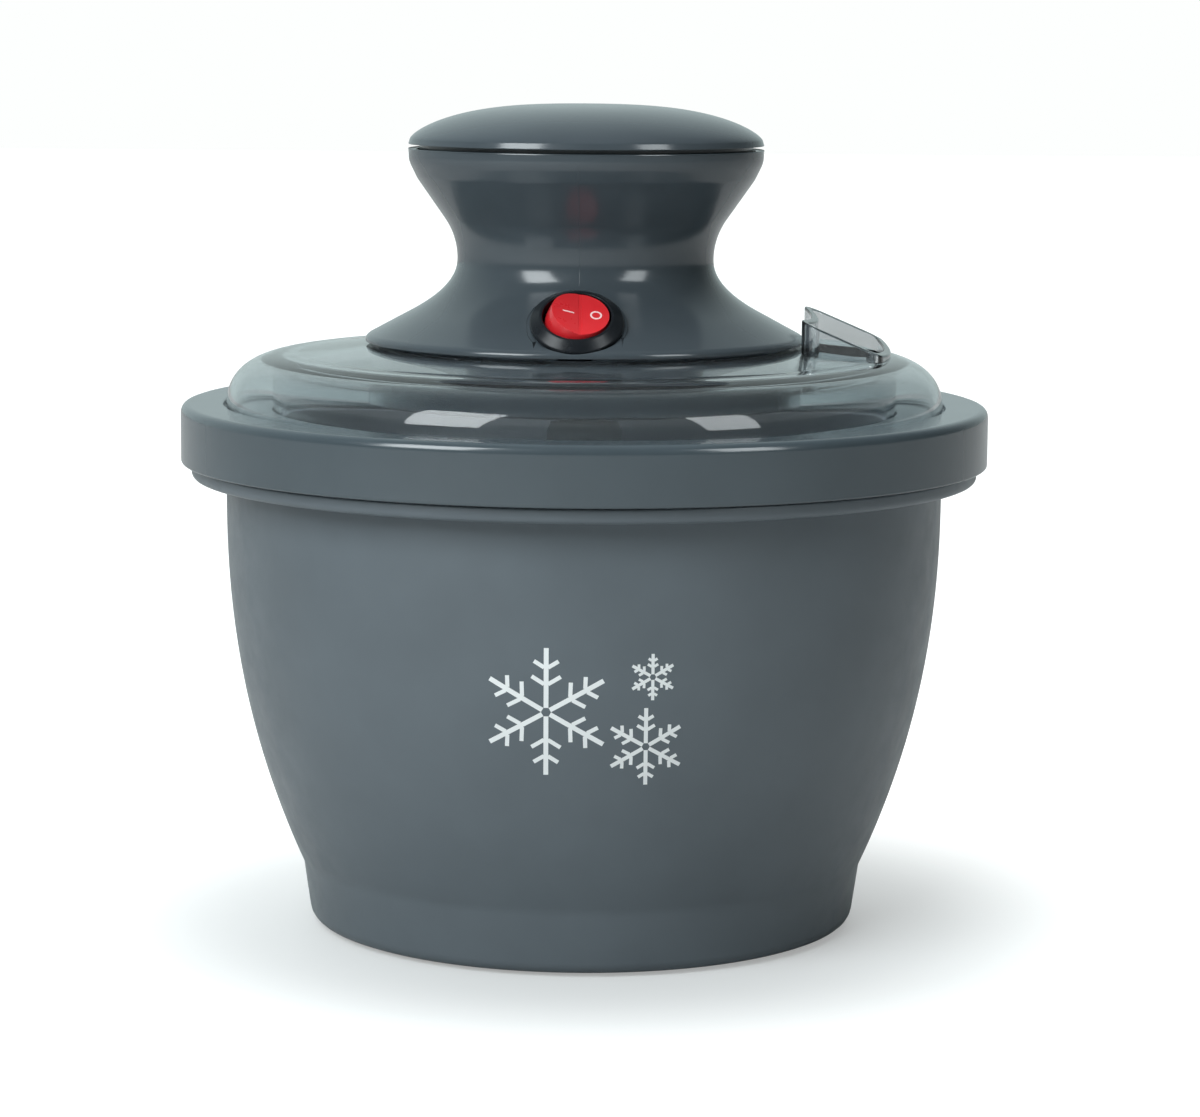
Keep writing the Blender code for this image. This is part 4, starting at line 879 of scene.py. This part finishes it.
def make_switch_body():
    edge = 0.7 * MM
    profile = soften([(0.0, -7.2 * MM), (POCKET_RADIUS - 0.6 * MM, -7.2 * MM, 0.3 * MM),
                      (POCKET_RADIUS, -3.0 * MM, MM), (POCKET_RADIUS, BEZEL_RISE, 0.3 * MM),
                      (POCKET_RADIUS + 0.6 * MM, BEZEL_RISE, edge), (BEZEL_RADIUS, -0.4 * MM, edge),
                      (BEZEL_RADIUS, -BEZEL_THICKNESS, 0.15 * MM),
                      (SWITCH_BODY_RADIUS, -BEZEL_THICKNESS, 0.1 * MM),
                      (SWITCH_BODY_RADIUS, -SWITCH_DEPTH, 0.5 * MM), (0.0, -SWITCH_DEPTH)])
    body = on_switch(turned("switch_bezel", profile, BLACK, 128, closed=False))
    settle(body, "motor_unit", "black_plastic", "switch_body")


def make_rocker():
    """Round rocker with two shallow slopes that meet in a valley over its hinge."""
    top = ROCKER_VALLEY + 1.9 * MM
    shoulder = ROCKER_RADIUS - 0.5 * MM
    waist = ROCKER_RADIUS - 1.0 * MM
    sides = soften([(0.0, top), (shoulder - 0.6 * MM, top), (shoulder, 3.4 * MM, MM),
                    (ROCKER_RADIUS, 0.6 * MM, MM), (ROCKER_RADIUS, -1.2 * MM, MM),
                    (waist, -3.0 * MM, 0.5 * MM), (0.0, -3.0 * MM)])
    rocker = link(bpy.data.objects.new("rocker_cap", turned_mesh("rocker_cap", sides, 128, closed=False)))
    for side in (-1, 1):
        cutter = slab("slope", (0.02, 0.03, 0.008))
        matrix = Matrix.Translation((0, 0, ROCKER_VALLEY)) @ Matrix.Rotation(-ROCKER_SLOPE * side, 4, "Y")
        cutter.matrix_world = matrix @ Matrix.Translation((side * 9.6 * MM, 0, 4 * MM))
        combine(rocker, cutter)
    bevel(rocker, 0.5 * MM, 4, 35)
    bake(rocker)
    rocker.data.materials.append(RED)
    on_switch(rocker, ROCKER_PIVOT_DEPTH, ROCKER_REST)
    settle(rocker, "rocker", "red_plastic", "switch_rocker", angle=50)
    make_rocker_marks()


def make_rocker_marks():
    """Printed on and off marks, one on each slope of the rocker."""
    lift = 0.06 * MM
    sink = -0.1 * MM
    outer = 1.45 * MM
    inner = 1.02 * MM
    ring = turned_mesh("off_mark", [(outer, lift), (outer, sink), (inner, sink), (inner, lift)], 48)
    bar = slab("on_mark", (2.8 * MM, 0.36 * MM, 0.16 * MM))
    ring = bpy.data.objects.new("off_mark", ring)
    for obj, side, reach in ((ring, 1, 3.9 * MM), (bar, -1, 2.9 * MM)):
        link(obj)
        obj.data.materials.append(MARK)
        slope = Matrix.Translation((0, 0, ROCKER_VALLEY)) @ Matrix.Rotation(-ROCKER_SLOPE * side, 4, "Y")
        matrix = switch_matrix(ROCKER_PIVOT_DEPTH, ROCKER_REST) @ slope
        obj.matrix_world = matrix @ Matrix.Translation((side * reach, 0, 0.0))
        settle(obj, "rocker", "white_plastic")


# ---------------------------------------------------------------- cord gland

def make_gland():
    """Rubber bushing with three relief ridges and an open bore for the cord."""
    flange = 5.6 * MM
    ridge = 0.25 * MM
    profile = [(flange, 1.8 * MM, 0.7 * MM), (flange, 0.3 * MM, 0.3 * MM), (GLAND_NECK, 0.3 * MM)]
    for height in (-2.0 * MM, -4.0 * MM, -6.0 * MM):
        profile += [(GLAND_NECK, height + ridge), (GLAND_NECK - ridge, height), (GLAND_NECK, height - ridge)]
    profile += [(GLAND_NECK, -8 * MM, 0.5 * MM), (GLAND_BORE, -8 * MM, 0.5 * MM),
                (GLAND_BORE, 1.8 * MM, 0.8 * MM)]
    gland = turned("cord_bushing", soften(profile), RUBBER, MEDIUM)
    gland.matrix_world = Matrix.Translation(GLAND_FACE) @ Matrix.Rotation(-math.pi / 2, 4, "X")
    settle(gland, "motor_unit", "rubber", "cord_gland")


# ---------------------------------------------------------------- printed motif on the housing

def stroke(bm, start, end, width, centre):
    """One bar of the motif, bent round the housing and raised by the thickness of the print."""
    lift = 0.07 * MM
    sink = 0.15 * MM
    start = Vector(start)
    end = Vector(end)
    along = (end - start).normalized()
    across = Vector((-along.y, along.x)) * width / 2
    steps = max(2, int((end - start).length / (1.2 * MM)))
    rows = []
    for index in range(steps + 1):
        middle = start.lerp(end, index / steps)
        row = []
        for level in (lift, -sink):
            for side in (1, -1):
                flat = middle + across * side
                height = centre.y + flat.y
                radius = wall_radius(height) + level
                angle = -math.pi / 2 + (centre.x + flat.x) / wall_radius(height)
                row.append(bm.verts.new((*polar(radius, angle), height)))
        rows.append([row[0], row[1], row[3], row[2]])
    for here, there in zip(rows, rows[1:]):
        for corner in range(4):
            following = (corner + 1) % 4
            bm.faces.new((here[corner], there[corner], there[following], here[following]))
    bm.faces.new(rows[0])
    bm.faces.new(rows[-1][::-1])


def snowflake(bm, centre, radius, width):
    """Plain six-armed flake with two pairs of barbs on each arm."""
    for arm in range(6):
        direction = math.pi / 2 + math.tau * arm / 6
        start = polar(width * 0.9, direction)
        stroke(bm, start, polar(radius, direction), width, centre)
        for share, length in ((0.42, 0.26), (0.68, 0.22)):
            root = Vector(polar(radius * share, direction))
            for side in (-1, 1):
                barb = direction + side * math.radians(58)
                tip = root + Vector(polar(radius * length, barb))
                stroke(bm, root + Vector(polar(width * 0.5, barb)), tip, width * 0.85, centre)


def make_motif():
    bm = bmesh.new()
    middle = HOUSING_LOW + 65.5 * MM
    snowflake(bm, Vector((-8.5 * MM, middle + 2 * MM)), 15.5 * MM, 1.15 * MM)
    snowflake(bm, Vector((15.0 * MM, middle - 6.5 * MM)), 9.5 * MM, 0.95 * MM)
    snowflake(bm, Vector((16.5 * MM, middle + 10.5 * MM)), 5.6 * MM, 0.75 * MM)
    bmesh.ops.recalc_face_normals(bm, faces=bm.faces)
    mesh = bpy.data.meshes.new("snow_print")
    bm.to_mesh(mesh)
    bm.free()
    motif = link(bpy.data.objects.new("snow_print", mesh))
    mesh.materials.append(INK)
    settle(motif, "housing", "white_plastic")


# ---------------------------------------------------------------- camera, light and floor

def make_camera():
    camera = bpy.data.objects.new("camera", bpy.data.cameras.new("camera"))
    link(camera)
    camera.data.sensor_width = 36.0
    camera.data.lens = 114.31
    camera.data.shift_x = 0.01383
    camera.data.clip_start = 0.01
    turn = Matrix.Rotation(math.pi / 2 - 0.1386, 4, "X") @ Matrix.Rotation(0.0071, 4, "Z")
    camera.matrix_world = Matrix.Translation((0.0, -0.9638, 0.2269)) @ turn
    bpy.context.scene.camera = camera


def area_light(name, location, target, size, power, shape="RECTANGLE"):
    light = bpy.data.lights.new(name, "AREA")
    light.shape = shape
    light.size = size[0]
    light.size_y = size[1]
    light.energy = power
    light.color = (0.92, 0.98, 1.0)
    obj = link(bpy.data.objects.new(name, light))
    obj.location = location
    direction = Vector(target) - Vector(location)
    obj.rotation_euler = direction.to_track_quat("-Z", "Y").to_euler()
    obj.visible_camera = False
    obj.visible_transmission = False
    return obj


def make_world():
    """White studio: bright behind the object, darker in front of it and on the right."""
    world = bpy.data.worlds.new("studio")
    bpy.context.scene.world = world
    world.use_nodes = True
    nodes = world.node_tree.nodes
    links = world.node_tree.links
    background = nodes["Background"]
    coordinates = nodes.new("ShaderNodeTexCoord")
    facing = nodes.new("ShaderNodeVectorMath")
    facing.operation = "DOT_PRODUCT"
    facing.inputs[1].default_value = (-0.38, 1.0, 0.0)
    links.new(coordinates.outputs["Generated"], facing.inputs[0])
    ramp = nodes.new("ShaderNodeMapRange")
    ramp.interpolation_type = "SMOOTHSTEP"
    ramp.inputs["From Min"].default_value = 0.10
    ramp.inputs["From Max"].default_value = 1.05
    ramp.inputs["To Min"].default_value = 0.08
    ramp.inputs["To Max"].default_value = 0.66
    links.new(facing.outputs["Value"], ramp.inputs["Value"])
    path = nodes.new("ShaderNodeLightPath")
    strength = nodes.new("ShaderNodeMix")
    links.new(path.outputs["Is Camera Ray"], strength.inputs["Factor"])
    links.new(ramp.outputs["Result"], strength.inputs["A"])
    strength.inputs["B"].default_value = 1.0
    links.new(strength.outputs["Result"], background.inputs["Strength"])
    tint = nodes.new("ShaderNodeMix")
    tint.data_type = "RGBA"
    links.new(path.outputs["Is Camera Ray"], tint.inputs["Factor"])
    tint.inputs["A"].default_value = (0.84, 1.0, 1.0, 1.0)
    tint.inputs["B"].default_value = (0.985, 1.0, 0.992, 1.0)
    links.new(tint.outputs["Result"], background.inputs["Color"])


def pale_floor():
    """Pale sweep with a glow that only the camera sees. The glow is weaker near the object, which paints a
    shadow round the foot that fades to white further out.
    """
    material, nodes, links = new_material("pale_floor")
    shader = nodes["Principled BSDF"]
    shader.inputs["Base Color"].default_value = (0.52, 0.53, 0.53, 1.0)
    shader.inputs["Roughness"].default_value = 0.6
    shader.inputs["Specular IOR Level"].default_value = 0.1
    shader.inputs["Emission Color"].default_value = (0.985, 1.0, 0.995, 1.0)
    coordinates = nodes.new("ShaderNodeTexCoord")
    distance = nodes.new("ShaderNodeVectorMath")
    distance.operation = "LENGTH"
    links.new(coordinates.outputs["Object"], distance.inputs[0])
    # Painted shadow: the camera-only glow rises from 0.36 within 8.5 cm of the object to 0.70 beyond 17 cm.
    painted_shadow_fade = ranged(nodes, links, distance.outputs["Value"], 0.36, 0.70, 0.085, 0.17)
    painted_shadow_fade.node.interpolation_type = "SMOOTHSTEP"
    path = nodes.new("ShaderNodeLightPath")
    glow = nodes.new("ShaderNodeMath")
    glow.operation = "MULTIPLY"
    links.new(painted_shadow_fade, glow.inputs[0])
    links.new(path.outputs["Is Camera Ray"], glow.inputs[1])
    links.new(glow.outputs["Value"], shader.inputs["Emission Strength"])
    return material


def make_floor():
    bm = bmesh.new()
    bmesh.ops.create_grid(bm, x_segments=1, y_segments=1, size=6.0)
    mesh = bpy.data.meshes.new("floor")
    bm.to_mesh(mesh)
    bm.free()
    floor = link(bpy.data.objects.new("floor", mesh))
    mesh.materials.append(pale_floor())


def make_lights():
    key = area_light("key_left", (-0.95, -0.95, 0.90), (0, 0, 0.12), (0.68, 0.90), 19.0)
    key.visible_diffuse = False
    front = area_light("front_soft", (-0.80, -1.15, 1.05), (0, 0, 0.12), (1.2, 1.0), 27.0)
    front.visible_glossy = False
    fill = area_light("fill_right", (1.00, -0.95, 0.78), (0, 0, 0.12), (0.48, 0.80), 8.0)
    fill.visible_diffuse = False
    sun = bpy.data.lights.new("overhead", "SUN")
    sun.energy = 2.4
    sun.angle = math.radians(50)
    sun_object = link(bpy.data.objects.new("overhead", sun))
    sun_object.rotation_euler = (math.radians(-10), 0, 0)
    sun_object.visible_glossy = False
    sun_object.visible_transmission = False


dress_nodes()
make_camera()
make_world()
make_floor()
make_lights()
make_housing()
make_motif()
make_feet()
make_collar()
make_liner()
make_bowl_shell()
make_dasher()
make_lid()
make_motor_housing()
make_seams()
make_cap()
make_motor_base()
make_switch_body()
make_rocker()
make_gland()
bpy.context.scene.view_settings.view_transform = "Standard"
